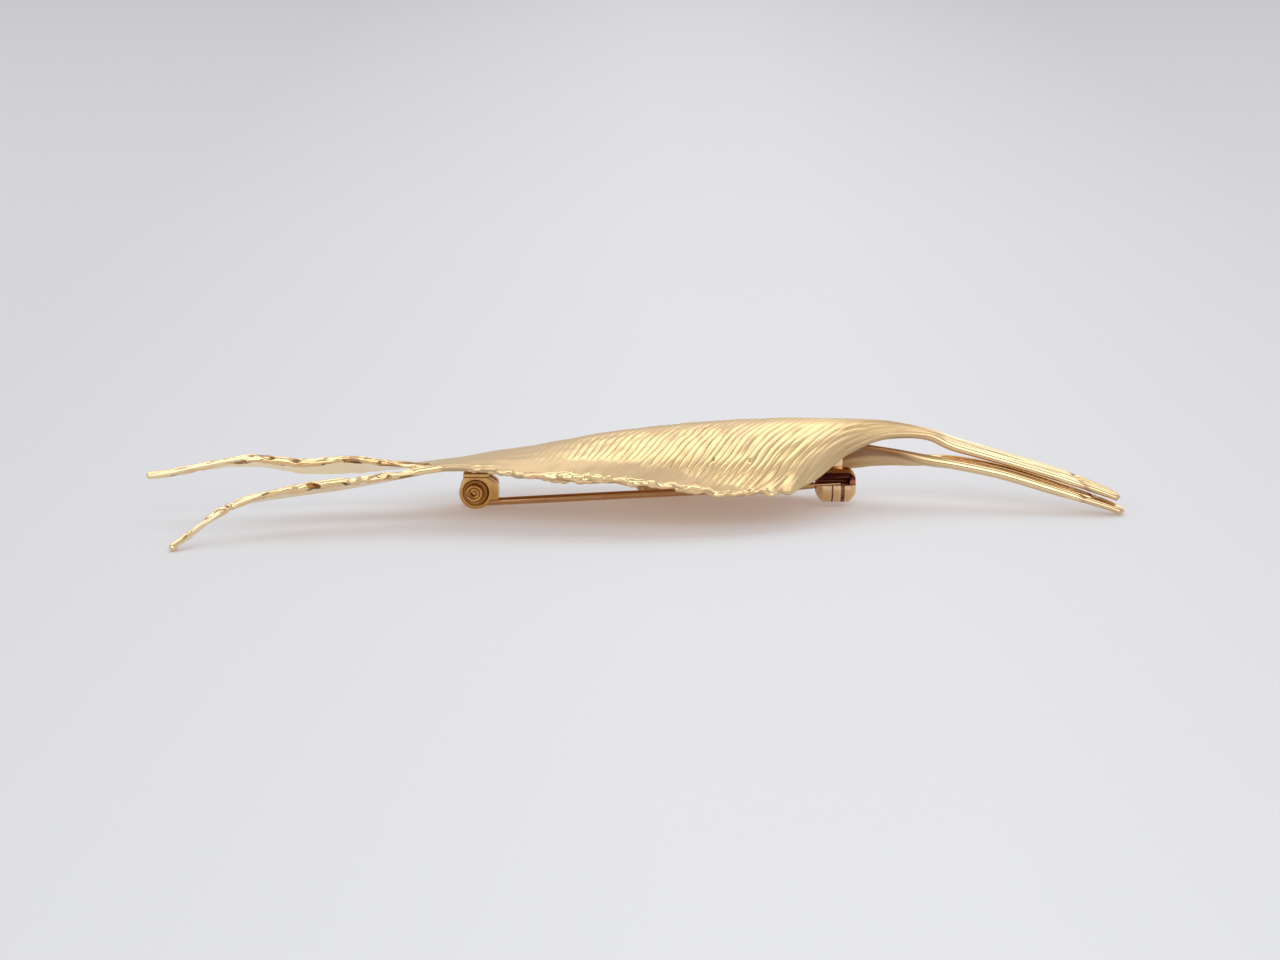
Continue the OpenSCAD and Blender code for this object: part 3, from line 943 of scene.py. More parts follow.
    def build(self) -> bpy.types.Object:
        """Builds the bead.

        Returns:
            The closed piece, with a tone as an attribute: painted shade between its lumps, or on a hammered
            bead painted reflections on its facets, and painted shade on its underside.
        """
        centre, normal, out, run = self.path()
        radius = on_line(self.radius, centre[:, 0])
        girth = TURN * float(np.median(radius))
        turn = np.arange(self.sides) / self.sides * TURN
        heap = self.lumps(run, turn / TURN * girth, girth)
        size, tone = self.hammered(run, turn, radius)
        size = np.maximum(size + heap * (radius / radius.max())[:, None], self.least_r)
        spoke = np.cos(turn)[None, :, None] * normal[:, None] + np.sin(turn)[None, :, None] * out[:, None]
        ring = round_ends(centre[:, None] + size[..., None] * spoke, run, *self.end_round)
        ring[..., 2] = np.maximum(ring[..., 2], self.table_gap)
        piece = add_mesh(self.name, *loft(ring))
        if not self.facets:
            # painted shade in the hollows between the lumps
            tone = np.clip((heap - heap.min()) / (self.full_tone * self.lump[2]), 0, 1)
        # painted shade on the underside
        tone = np.clip(tone - self.under_shade * np.clip(-np.cos(turn - self.under_turn), 0, 1), 0, 1)
        values = np.concatenate([tone.ravel(), [1.0, 1.0]]).astype(np.float32)
        piece.data.attributes.new("relief", "FLOAT", "POINT").data.foreach_set("value", values)
        return piece


def turned(name: str, profile: Sequence[Pair], at: Triple, axis: Triple, sides: int = 64,
           closed: bool = False) -> bpy.types.Object:
    """Turns a profile round an axis.

    Args:
        name: Name of the piece.
        profile: Distances along the axis and radii, in mm.
        at: Where the axis starts, in mm.
        axis: Which way it runs.
        sides: Steps round it.
        closed: Whether the profile is a closed loop that makes a ring.

    Returns:
        The new object.
    """
    way = np.array(Vector(axis).normalized())
    side = np.cross(way, (0.0, 0.0, 1.0) if abs(way[2]) < 0.9 else (1.0, 0.0, 0.0))
    side /= np.linalg.norm(side)
    other = np.cross(way, side)
    turn = np.arange(sides) / sides * TURN
    spoke = np.cos(turn)[:, None] * side + np.sin(turn)[:, None] * other
    rings = np.array([np.array(at) + h * way + r * spoke for h, r in profile])
    if not closed:
        return add_mesh(name, *loft(rings))
    faces = [tuple(q) for q in ring_faces(len(profile), sides, wrap=True).tolist()]
    piece = add_mesh(name, rings.reshape(-1, 3), faces)
    face_outwards(piece)
    return piece


def face_outwards(piece: bpy.types.Object) -> None:
    """Turns a closed piece's faces outwards.

    Args:
        piece: The piece.
    """
    bm = bmesh.new()
    bm.from_mesh(piece.data)
    bmesh.ops.recalc_face_normals(bm, faces=bm.faces)
    bm.to_mesh(piece.data)
    bm.free()


def prism(name: str, outline: Sequence[Pair], plane: Plane, low: float, high: float) -> bpy.types.Object:
    """Draws an outline out into a plate.

    Args:
        name: Name of the piece.
        outline: Corners in mm.
        plane: The plane of the outline.
        low: Where the plate starts in the direction that is left over.
        high: Where it ends.

    Returns:
        The new object.
    """
    flat = np.array(outline, float)
    points = np.concatenate([np.insert(flat, plane.value, h, axis=1) for h in (low, high)])
    count = len(flat)
    faces: list[Face] = [tuple(range(count)), tuple(range(2 * count - 1, count - 1, -1))]
    faces += [(j, (j + 1) % count, (j + 1) % count + count, j + count) for j in range(count)]
    piece = add_mesh(name, points, faces)
    face_outwards(piece)
    return piece


def finish_shape(piece: bpy.types.Object, cutters: Sequence[bpy.types.Object] = (), round_off: float = 0.05,
                 joined: Sequence[bpy.types.Object] = (), steps: int = 3) -> bpy.types.Object:
    """Joins and cuts a piece, and rounds its sharp edges.

    Args:
        piece: The piece.
        cutters: Solids that are cut out of it and then removed.
        round_off: Radius of the rounded edges in mm.
        joined: Solids that become part of it.
        steps: Strips in each rounded edge.

    Returns:
        The same piece.
    """
    piece.data.materials.append(bpy.data.materials[Metal.POLISHED.value])
    for how, tools, metal in (("UNION", joined, Metal.POLISHED), ("DIFFERENCE", cutters, Metal.SHADOWED)):
        for tool in tools:
            if not tool.data.materials:
                tool.data.materials.append(bpy.data.materials[metal.value])
            cut = piece.modifiers.new("cut", "BOOLEAN")
            cut.operation, cut.solver, cut.object, cut.material_mode = how, "EXACT", tool, "TRANSFER"
    if round_off:
        rounding = piece.modifiers.new("rounding", "BEVEL")
        rounding.width, rounding.segments = round_off * MM, steps
        rounding.limit_method, rounding.angle_limit = "ANGLE", ROUNDED_ANGLE
        rounding.use_clamp_overlap = True
    graph = bpy.context.evaluated_depsgraph_get()
    shaped = bpy.data.meshes.new_from_object(piece.evaluated_get(graph))
    shaped.name = piece.name
    piece.modifiers.clear()
    old, piece.data = piece.data, shaped
    bpy.data.meshes.remove(old)
    for tool in (*cutters, *joined):
        bpy.data.objects.remove(tool)
    piece.data.polygons.foreach_set("use_smooth", np.ones(len(piece.data.polygons), bool))
    piece.data.set_sharp_from_angle(angle=SHARP_ANGLE)
    return piece


def arc(centre: Pair, radius: float, start: float, end: float, count: int) -> list[Pair]:
    """Draws an arc.

    Args:
        centre: Its centre.
        radius: Its radius.
        start: First angle in degrees.
        end: Last angle in degrees.
        count: How many points.

    Returns:
        The points in order.
    """
    angles = np.radians(np.linspace(start, end, count))
    return [(centre[0] + radius * math.cos(a), centre[1] + radius * math.sin(a)) for a in angles]


def soft_corner(before: Pair, corner: Pair, after: Pair, cut: float = 0.3) -> list[Pair]:
    """Rounds a corner of an outline.

    Args:
        before: The outline's point before the corner.
        corner: The corner.
        after: The point after it.
        cut: Length that the rounding takes from each side.

    Returns:
        The points that take the corner's place.
    """
    a, b, c = np.array(before), np.array(corner), np.array(after)
    a, c = b + unit(a - b) * cut, b + unit(c - b) * cut
    share = np.linspace(0, 1, 6)[:, None]
    curve = (1 - share) ** 2 * a + 2 * share * (1 - share) * b + share * share * c
    return [(x, z) for x, z in curve.tolist()]


def wedge(reach: float, start: float, end: float) -> list[Pair]:
    """Draws the outline, in y and z, of a wedge that opens from the barrel's axis.

    Args:
        reach: How far it reaches.
        start: First angle in degrees, counted from the back over the top.
        end: Last angle.

    Returns:
        Its corners.
    """
    return [(PIN_Y, CATCH_Z)] + arc((PIN_Y, CATCH_Z), reach, start, end, 9)


@dataclass
class Hinge:
    """The hinge seat under the left end: two ears, a web that stops the pin, a plate and its solder.

    Places are counted from the pin's axis, in mm.
    """

    ear_r: float = 1.4
    inner_face: float = 0.41  # of an ear, from the middle of the pin's eye
    ear_t: float = 0.65
    back_x: float = 1.05  # to the left end of an ear's top
    front_x: float = 1.95  # to an ear's right side
    plate_z: float = 1.3  # to the ears' top
    corner: Pair = (1.15, 0.75)  # the square shoulder
    side_low: float = -0.6
    stop_x: float = 1.3
    plate_t: float = 0.45
    plate_in: float = 0.05  # how far the plate sinks into the ears
    dish_r: float = 1.14
    dish_t: float = 0.26
    dish_lean: float = -0.13
    ear_round: float = 0.09  # radius of the ears' rounded edges
    plate_round: float = 0.14  # and of the plate's
    web_round: float = 0.04
    clear: float = 0.02  # by which the bore is wider than the rivet, and the dish's rim than the dish
    rivet_r: float = 0.42
    rivet_shift: Pair = (-0.13, -0.08)  # of its heads, in x and z
    rivet_head: tuple[Triple, ...] = (  # radius, height over the dish, and rise of the rolled ring
        (0.02, 0.12, 0), (0.08, 0.12, 0), (0.13, 0.09, 0), (0.18, -0.02, 0), (0.30, -0.05, 0),
        (0.37, -0.02, 0.05), (0.43, 0.03, 0.13), (0.50, 0.05, 0.18), (0.57, 0.05, 0.15), (0.64, 0.03, 0.07),
        (0.69, -0.02, 0.0), (0.70, -0.14, 0.0),
    )
    ring_gap: float = 195.0  # where the rolled ring is open, in degrees
    gap_w: float = 0.45  # half the opening's width, in radians
    gap_deep: float = 0.9  # share of the ring's rise that is lost there
    solder: Knots = (  # height over the plate and radius
        (-0.10, 0.86), (0.0, 0.93), (0.05, 0.90), (0.14, 0.78), (0.35, 0.68), (0.6, 0.66), (0.85, 0.74),
        (1.05, 0.88),
    )
    solder_deep: float = 0.72  # its depth as a share of its width
    solder_slope: Pair = (0.18, -0.155)  # how its top follows the sheet in x and y

    def outline(self) -> list[Pair]:
        """Draws the outline of an ear in x and z: a round eye with a square shoulder at its right.

        Returns:
            Its corners.
        """
        x, z = HINGE
        start = math.degrees(math.asin(self.side_low / self.ear_r))
        end = -360 + math.degrees(math.acos(-self.back_x / self.ear_r))
        back, top = (x - self.back_x, z + self.plate_z), (x + self.corner[0], z + self.plate_z)
        side, low = (x + self.front_x, z + self.corner[1]), (x + self.front_x, z + self.side_low)
        eye = (x + self.ear_r * math.cos(math.radians(start)), low[1])
        return (arc((x, z), self.ear_r, start, end, 48) + [back] + soft_corner(back, top, side)
                + soft_corner(top, side, low) + soft_corner(side, low, eye, 0.15))

    def ear(self, side: int) -> bpy.types.Object:
        """Builds one ear.

        Args:
            side: -1 for the near ear and 1 for the far one.

        Returns:
            The ear, with a dish round the rivet.
        """
        inner, outer = PIN_Y + side * self.inner_face, PIN_Y + side * (self.inner_face + self.ear_t)
        name = "hinge_ear_near" if side < 0 else "hinge_ear_far"
        ear = prism(name, self.outline(), Plane.XZ, min(inner, outer), max(inner, outer))
        rim = self.dish_r + self.clear
        bowl = [(-self.dish_t, self.dish_r - 0.12), (-self.dish_t + 0.08, self.dish_r - 0.03)]
        bowl += [(0.0, rim), (0.5, rim)]
        lean = self.dish_lean * side
        dish = turned("dish", bowl, (HINGE[0], outer, HINGE[1]), (lean, side, lean))
        # the dish floor takes the dark gold of the painted shade in the recess
        dish.data.materials.append(bpy.data.materials[Metal.RECESS_SHADE.value])
        bore_r = self.rivet_r + self.clear
        bore = turned("bore", [(-2, bore_r), (2, bore_r)], (HINGE[0], outer, HINGE[1]), (0, side, 0))
        return finish_shape(ear, [dish, bore], self.ear_round)

    def plate(self) -> bpy.types.Object:
        """Builds the plate over the ears.

        Returns:
            The plate.
        """
        x, z = HINGE
        left, right, base = x - self.back_x, x + self.corner[0], z + self.plate_z - self.plate_in
        top = z + self.plate_z + self.plate_t
        reach = self.inner_face + self.ear_t - 0.04
        outline = [(left, base), (right, base), (right, top), (left, top)]
        plate = prism("hinge_plate", outline, Plane.XZ, PIN_Y - reach, PIN_Y + reach)
        return finish_shape(plate, round_off=self.plate_round)

    def web(self) -> bpy.types.Object:
        """Builds the web between the ears, which stops the pin.

        Returns:
            The web.
        """
        x, z = HINGE
        left, right = x + self.stop_x, x + self.front_x - 0.01
        base, top = z + self.side_low + 0.01, z + self.corner[1]
        outline = [(left, base), (right, base), (right, top), (left, top + 0.2)]
        reach = self.inner_face + 0.05
        web = prism("hinge_web", outline, Plane.XZ, PIN_Y - reach, PIN_Y + reach)
        return finish_shape(web, round_off=self.web_round)

    def lump(self) -> bpy.types.Object:
        """Builds the uneven lump of solder between the plate and the sheet.

        Returns:
            The lump.
        """
        base = HINGE[1] + self.plate_z + self.plate_t
        lump = turned("hinge_solder", self.solder, (HINGE[0], PIN_Y, base), (0, 0, 1), 72)
        x, y, z = (np.array([v.co for v in lump.data.vertices]) / MM).T
        turn = np.arctan2(y - PIN_Y, x - HINGE[0])
        swell = 1 + 0.05 * np.sin(3 * turn + 4 * z) + 0.04 * np.sin(5 * turn - 3 * z)
        aside, back = (x - HINGE[0]) * swell, (y - PIN_Y) * self.solder_deep * swell
        rise = np.clip(z - base, 0, 1) * (self.solder_slope[0] * aside + self.solder_slope[1] * back)
        points = np.stack([HINGE[0] + aside, PIN_Y + back, z + rise], 1)
        lump.data.vertices.foreach_set("co", (points * MM).ravel())
        return lump

    def rivet(self) -> bpy.types.Object:
        """Builds the rivet, whose heads are rolled into an open ring round a dot.

        Returns:
            The rivet with both heads.
        """
        face = self.inner_face + self.ear_t - self.dish_t + 0.025
        turn = np.arange(96) / 96 * TURN
        aside = (turn - math.radians(self.ring_gap) + math.pi) % TURN - math.pi
        opened = 1 - self.gap_deep * bell(aside, self.gap_w)
        x, z = HINGE[0] + self.rivet_shift[0], HINGE[1] + self.rivet_shift[1]
        rings = []
        for side in (-1, 1):
            part = []
            for r, base, ring in (*self.rivet_head, (0.9 * self.rivet_r, -0.14, 0)):
                y = PIN_Y + side * (face + base + ring * opened)
                wide = r * (1.2 if r > 0.1 else 1.0)
                part.append(np.stack([x + wide * np.cos(turn), y, z + wide * np.sin(turn)], 1))
            rings += part if side < 0 else part[::-1]
        return add_mesh("hinge_pin_rivet", *loft(np.array(rings)))


@dataclass
class Pin:
    """The pin: a flat eye, the wire, and its tapered point, all in mm."""

    wire_r: float = 0.34
    root_r: float = 0.31  # beside the eye
    root_l: float = 2.6
    start: float = 0.35  # of the wire, along its line
    end: float = 31.4
    point_l: float = 4.0
    tip_r: float = 0.12
    tip_full: float = 1.25  # how full the taper is, from 1 for a cone
    drop: float = 1.1  # of the wire's line under the hinge's axis
    eye_r: float = 1.1
    eye_t: float = 0.7
    bore_r: float = 0.47

    def build(self) -> bpy.types.Object:
        """Builds the pin in one piece.

        Returns:
            The wire with its eye.
        """
        rise = math.atan((CATCH_Z - HINGE[1] + self.drop) / (CATCH_X - HINGE[0]))
        axis = (math.cos(rise), 0.0, math.sin(rise))
        straight = self.end - self.point_l
        profile = [(self.start - 0.05, 0.05), (self.start, 0.2), (self.start + 0.08, self.root_r)]
        profile += [(h, self.root_r + (self.wire_r - self.root_r) * min((h - self.start) / self.root_l, 1))
                    for h in np.linspace(self.start + 0.3, straight, 60)]
        for share in np.linspace(0.05, 1, 24):
            profile.append((straight + share * (self.point_l - 0.06),
                            self.tip_r + (self.wire_r - self.tip_r) * (1 - share**self.tip_full)))
        profile += [(self.end - 0.03, self.tip_r * 0.75), (self.end, self.tip_r * 0.3)]
        wire = turned("pin_wire", profile, (HINGE[0], PIN_Y, HINGE[1] - self.drop), axis, 40)
        half = self.eye_t / 2
        loop = [
            (-half + 0.08, self.bore_r), (-half + 0.02, self.bore_r + 0.05), (-half, self.bore_r + 0.12),
            (-half, self.eye_r - 0.16), (-half + 0.04, self.eye_r - 0.06), (-half + 0.14, self.eye_r),
        ]
        loop += [(-h, r) for h, r in loop[::-1]]
        eye = turned("eye", loop, (HINGE[0], PIN_Y, HINGE[1]), (0, 1, 0), 72, closed=True)
        return finish_shape(wire, joined=[eye], round_off=0)


@dataclass
class Catch:
    """The safety catch: a ball ended barrel on a neck, and the turning lock inside it.

    Sizes are in mm, and angles in degrees from the back over the top.
    """

    barrel_r: float = 1.5
    length: float = 3.4
    ball_r: float = 1.88
    bore_r: float = 0.82
    cheek_l: float = 1.25  # from the open end to the lever's way
    mid_l: float = 0.85  # width of the lever's way
    wall_l: float = 0.5  # of the closed end
    mouth_w: float = 0.86
    window: Pair = (124.0, 171.0)  # the opening at the front
    window_end_r: float = 0.86  # its floor in the closed end
    back_open: Pair = (-97.0, 60.0)  # the lever's way
    slits: Knots = ((0.12, 0.14), (1.0, 0.34))  # place right of the cheek, and width
    slit_deep: float = 0.25
    slit_to: float = 250.0
    cutter_r: float = 2.6  # outside the ball
    neck: Triple = (0.8, 0.55, 2.45)  # width, depth and height
    neck_shift: float = 0.2  # of the neck, to the right of the barrel's middle
    lock_r: float = 0.75
    lock_bore_r: float = 0.43
    lock_span: Pair = (-45.0, 97.0)  # where the open tube's wall is
    lever_at: float = 40.0
    lever_half: float = 9.0  # half the lever's width
    barrel_round: float = 0.045  # radius of the barrel's rounded edges
    neck_round: float = 0.08
    lock_round: float = 0.05
    lever_r: float = 2.0

    def barrel(self) -> bpy.types.Object:
        """Builds the barrel with its bore, window, mouth, slits and the way for the lever.

        Returns:
            The barrel.
        """
        left, half = CATCH_X - self.length / 2, self.length / 2
        at = (CATCH_X, PIN_Y, CATCH_Z)
        steps = np.linspace(-half + 0.06, half - 0.06, 40)
        shell = [(h, min(self.barrel_r, math.sqrt(self.ball_r**2 - h * h))) for h in steps]
        shell = [(-half, shell[0][1] - 0.14), (-half + 0.015, shell[0][1] - 0.05)] + shell
        shell += [(-h, r) for h, r in shell[1::-1]]
        barrel = turned("catch_barrel", shell, at, (1, 0, 0), 96)
        stop = left + self.length - self.wall_l
        mid_x = left + self.cheek_l
        near, far = PIN_Y - self.mouth_w / 2, PIN_Y + self.mouth_w / 2
        low, top = CATCH_Z - 3, CATCH_Z + 0.03
        bore = turned("bore", [(-1, self.bore_r), (self.length - self.wall_l, self.bore_r)],
                      (left, PIN_Y, CATCH_Z), (1, 0, 0), 64)
        face_outwards(bore)
        centre = (PIN_Y, CATCH_Z)
        mouth = [(near, low), (far, low), (far, top), (near, top)]
        end = arc(centre, self.cutter_r, *self.window, 12)
        end += arc(centre, self.window_end_r, *self.window[::-1], 12)
        cutters = [
            prism("window", wedge(self.cutter_r, *self.window), Plane.YZ, left - 1.1, stop - 0.012),
            prism("window_end", end, Plane.YZ, stop - 0.3, left + self.length + 1),
            prism("mouth", mouth, Plane.YZ, left - 1.2, stop - 0.024),
            prism("back", wedge(self.cutter_r, *self.back_open), Plane.YZ, mid_x, mid_x + self.mid_l),
        ]
        start = self.window[1] - 1
        for place, wide in self.slits:
            outline = arc(centre, 2.0, start, self.slit_to, 14)
            outline += arc(centre, self.barrel_r - self.slit_deep, self.slit_to, start, 14)
            at = mid_x + place
            cutters.append(prism("slit", outline, Plane.YZ, at - wide / 2, at + wide / 2))
        return finish_shape(barrel, [*cutters, bore], self.barrel_round, steps=2)

    def post(self) -> bpy.types.Object:
        """Builds the neck between the barrel and the sheet.

        Returns:
            The neck.
        """
        wide, deep, tall = self.neck
        x, z = CATCH_X - wide / 2 + self.neck_shift, CATCH_Z + self.bore_r + 0.25
        outline = [(x, z), (x + wide, z), (x + wide, z + tall), (x, z + tall)]
        neck = prism("catch_neck", outline, Plane.XZ, PIN_Y, PIN_Y + deep)
        return finish_shape(neck, round_off=self.neck_round)

    def lock(self) -> bpy.types.Object:
        """Builds the turning lock with its lever.

        Returns:
            The lock.
        """
        left = CATCH_X - self.length / 2
        centre = (PIN_Y, CATCH_Z)
        outline = arc(centre, self.lock_r, *self.lock_span, 40)
        outline += arc(centre, self.lock_bore_r, *self.lock_span[::-1], 30)
        stop, mid_x = left + self.length - self.wall_l, left + self.cheek_l
        tube = prism("catch_lock_tube", outline, Plane.YZ, left + 0.1, stop - 0.07)
        start, end = self.lever_at - self.lever_half, self.lever_at + self.lever_half
        blade = arc(centre, self.lever_r, start, end, 9)
        blade += arc(centre, self.lock_r - 0.1, end + 9, start - 9, 9)
        lever = prism("lever", blade, Plane.YZ, mid_x + 0.1, mid_x + self.mid_l - 0.1)
        return finish_shape(tube, joined=[lever], round_off=self.lock_round)


class Graph:
    """A node tree that is filled by short calls."""

    def __init__(self, tree: bpy.types.NodeTree) -> None:
        """Starts on an empty tree."""
        self.tree = tree
        tree.nodes.clear()

    def add(self, kind: str, inputs: Optional[dict] = None, **settings: object) -> bpy.types.Node:
        """Adds a node.

        Args:
            kind: Its type, without the ShaderNode prefix.
            inputs: Values or sockets for its inputs, by the input's name or number.
            settings: Its own settings.

        Returns:
            The node.
        """
        node = self.tree.nodes.new(kind if kind.startswith("Node") else "ShaderNode" + kind)
        for key, value in settings.items():
            setattr(node, key, value)
        for key, value in (inputs or {}).items():
            if isinstance(value, bpy.types.NodeSocket):
                self.tree.links.new(value, node.inputs[key])
            else:
                node.inputs[key].default_value = value
        return node

    def mark(self, name: str) -> bpy.types.NodeSocket:
        """Reads the values that a piece's points carry under a name."""
        return self.add("Attribute", attribute_name=name).outputs["Fac"]

    def math(self, how: str, a: object, b: object = 0.0) -> bpy.types.NodeSocket:
        """Result of a sum on two values or sockets."""
        return self.add("Math", {0: a, 1: b}, operation=how).outputs[0]

    def spread(self, value: object, low: float, high: float, first: float = 0.0,
               last: float = 1.0) -> bpy.types.NodeSocket:
        """Maps value from first..last to low..high."""
        return self.add("MapRange", {0: value, 1: first, 2: last, 3: low, 4: high}).outputs[0]

    def blend(self, share: object, a: object, b: object) -> bpy.types.NodeSocket:
        """Mixes two colours by share."""
        return self.add("Mix", {0: share, 6: a, 7: b}, data_type="RGBA").outputs[2]


def new_group(name: str, takes: Sequence[tuple[str, str, object]],
              gives: Sequence[tuple[str, str]]) -> tuple[Graph, bpy.types.Node, bpy.types.Node]:
    """Starts a shader node group.

    Args:
        name: Its name.
        takes: Name, kind and value of each input.
        gives: Name and kind of each output.

    Returns:
        The graph, its input node and its output node.
    """
    tree = bpy.data.node_groups.new(name, "ShaderNodeTree")
    graph = Graph(tree)
    for label, kind, value in takes:
        socket = tree.interface.new_socket(name=label, in_out="INPUT", socket_type="NodeSocket" + kind)
        socket.default_value = value
    for label, kind in gives:
        tree.interface.new_socket(name=label, in_out="OUTPUT", socket_type="NodeSocket" + kind)
    return graph, graph.add("NodeGroupInput"), graph.add("NodeGroupOutput")


def tone_group() -> bpy.types.ShaderNodeTree:
    """Builds the group that lets a gold drift between two tones in soft clouds.

    Returns:
        The group.
    """
    graph, given, out = new_group(
        "tone_drift",
        [("Tone", "Color", (1, 1, 1, 1)), ("Other", "Color", (1, 1, 1, 1)), ("Scale", "Float", 300.0),
         ("Amount", "Float", 0.5)],
        [("Colour", "Color")],
    )
    place = graph.add("TexCoord").outputs["Object"]
    cloud = graph.add("TexNoise", {"Vector": place, "Scale": given.outputs["Scale"], "Detail": 3.0,
                                   "Roughness": 0.6})
    soft = graph.spread(cloud.outputs["Fac"], 0.0, 1.0, 0.35, 0.65)
    share = graph.math("MULTIPLY", soft, given.outputs["Amount"])
    colour = graph.blend(share, given.outputs["Tone"], given.outputs["Other"])
    graph.tree.links.new(colour, out.inputs["Colour"])
    return graph.tree


def grain_group() -> bpy.types.ShaderNodeTree:
    """Builds the group of the fine satin grain that runs along the barbs, on the sheet's own lay.

    Returns:
        The group.
    """
    graph, given, out = new_group(
        "satin_grain",
        [("Across", "Float", 7.0), ("Along", "Float", 0.6), ("Height", "Float", 0.01),
         ("Strength", "Float", 0.5)],
        [("Normal", "Vector"), ("Grain", "Float")],
    )
    lay = graph.add("UVMap", uv_map="lay").outputs["UV"]
    split = graph.add("SeparateXYZ", {0: lay})
    stretched = graph.add("CombineXYZ", {
        0: graph.math("MULTIPLY", split.outputs[0], given.outputs["Across"]),
        1: graph.math("MULTIPLY", split.outputs[1], given.outputs["Along"]),
    }).outputs[0]
    grain = graph.add("TexNoise", {"Vector": stretched, "Scale": 1.0, "Detail": 4.0, "Roughness": 0.62})
    bump = graph.add("Bump", {"Strength": given.outputs["Strength"], "Distance": given.outputs["Height"],
                              "Height": grain.outputs["Fac"]})
    graph.tree.links.new(bump.outputs[0], out.inputs["Normal"])
    graph.tree.links.new(grain.outputs["Fac"], out.inputs["Grain"])
    return graph.tree


def skin_group() -> bpy.types.ShaderNodeTree:
    """Builds the group of the faint dents and the worn edges of polished metal.

    Returns:
        The group.
    """
    graph, given, out = new_group(
        "worn_skin",
        [("Dents", "Float", 900.0), ("Depth", "Float", 0.00002), ("Strength", "Float", 0.3)],
        [("Normal", "Vector"), ("Wear", "Float"), ("Cloud", "Float")],
    )
    place = graph.add("TexCoord").outputs["Object"]
    dents = graph.add("TexNoise", {"Vector": place, "Scale": given.outputs["Dents"], "Detail": 3.0,
                                   "Roughness": 0.55})
    bump = graph.add("Bump", {"Strength": given.outputs["Strength"], "Distance": given.outputs["Depth"],
                              "Height": dents.outputs["Fac"]})
    sharp = graph.add("NewGeometry").outputs["Pointiness"]
    wear = graph.spread(sharp, 0.0, 1.0, 0.50, 0.56)
    graph.tree.links.new(bump.outputs[0], out.inputs["Normal"])
    graph.tree.links.new(wear, out.inputs["Wear"])
    graph.tree.links.new(dents.outputs["Fac"], out.inputs["Cloud"])
    return graph.tree


def new_material(name: str) -> tuple[bpy.types.Material, Graph]:
    """Starts an empty material.

    Args:
        name: Its name.

    Returns:
        The material and its graph.
    """
    material = bpy.data.materials.new(name)
    material.use_nodes = True
    return material, Graph(material.node_tree)


@dataclass(frozen=True)
class SatinGold:
    """Satin gold of the ribbed sheets, with painted shade in the grooves between the barbs, under the other
    half and on the quills, a painted pale reflection on the tails and quills, and polish on the tails and
    quills.
    """

    metal: Metal = Metal.SATIN
    tone: Colour = (0.875, 0.665, 0.335)
    warm: Colour = (0.875, 0.61, 0.345)
    # painted shade in the grooves between the barbs
    groove: Colour = (0.42, 0.235, 0.08)
    tucked_shade: Colour = (0.34, 0.17, 0.07)  # colour of the painted shade: under the other half, on the quill's front edge, in its grooves and pits, and of the darker neck and tip
    # painted reflection of the white table on the tails and quills
    pale: Colour = (0.98, 0.79, 0.50)
    frosted: Colour = (0.58, 0.43, 0.255)
    drifts: float = 420.0  # clouds to a metre
    drift: float = 0.8  # how far the tone drifts to the warm one
    groove_relief: Pair = (0.06, 0.54)  # relief up to which the painted shade in the grooves is full, and where it ends
    frost_share: float = 0.85
    satin: float = 0.36  # roughness of the satin face
    polished: float = 0.18  # and of the polished one
    frost_rough: float = 0.16
    uneven_rough: float = 0.05
    grain_deep: float = 0.000012  # in metres
    grain: float = 0.5
    grain_span: Pair = (0.3, 0.7)  # grain up to which the roughness is least, and from which it is most

    def material(self, groups: Groups) -> bpy.types.Material:
        """Builds the material.

        Args:
            groups: The shared node groups by name.

        Returns:
            The material.
        """
        material, graph = new_material(self.metal.value)
        drift = graph.add("Group", {
            "Tone": (*self.tone, 1), "Other": (*self.warm, 1), "Scale": self.drifts, "Amount": self.drift,
        }, node_tree=groups["tone"])
        grain = graph.add("Group", {"Height": self.grain_deep, "Strength": self.grain},
                          node_tree=groups["grain"])
        relief, polish = graph.mark("relief"), graph.mark("polish")
        unpolished = graph.math("SUBTRACT", 1.0, polish)
        # share of the painted shade in the grooves
        depth = graph.math("MULTIPLY", graph.spread(relief, 1.0, 0.0, *self.groove_relief), unpolished)
        matte = graph.math("MULTIPLY", graph.mark("matte"), unpolished)
        colour = graph.blend(depth, drift.outputs["Colour"], (*self.groove, 1))
        colour = graph.blend(graph.math("MULTIPLY", matte, self.frost_share), colour, (*self.frosted, 1))
        # then the painted pale reflection, and the painted shade
        colour = graph.blend(graph.mark("pale"), colour, (*self.pale, 1))
        colour = graph.blend(graph.mark("shade"), colour, (*self.tucked_shade, 1))
        rough = graph.spread(polish, self.satin, self.polished)
        for more in (
            graph.math("MULTIPLY", matte, self.frost_rough),
            graph.spread(grain.outputs["Grain"], -self.uneven_rough, self.uneven_rough, *self.grain_span),
            graph.spread(relief, self.uneven_rough, -self.uneven_rough),
        ):
            rough = graph.math("ADD", rough, more)
        metal = graph.add("BsdfPrincipled", {"Base Color": colour, "Roughness": rough, "Metallic": 1.0,
                                             "Normal": grain.outputs["Normal"]})
        graph.add("OutputMaterial", {"Surface": metal.outputs[0]})
        return material


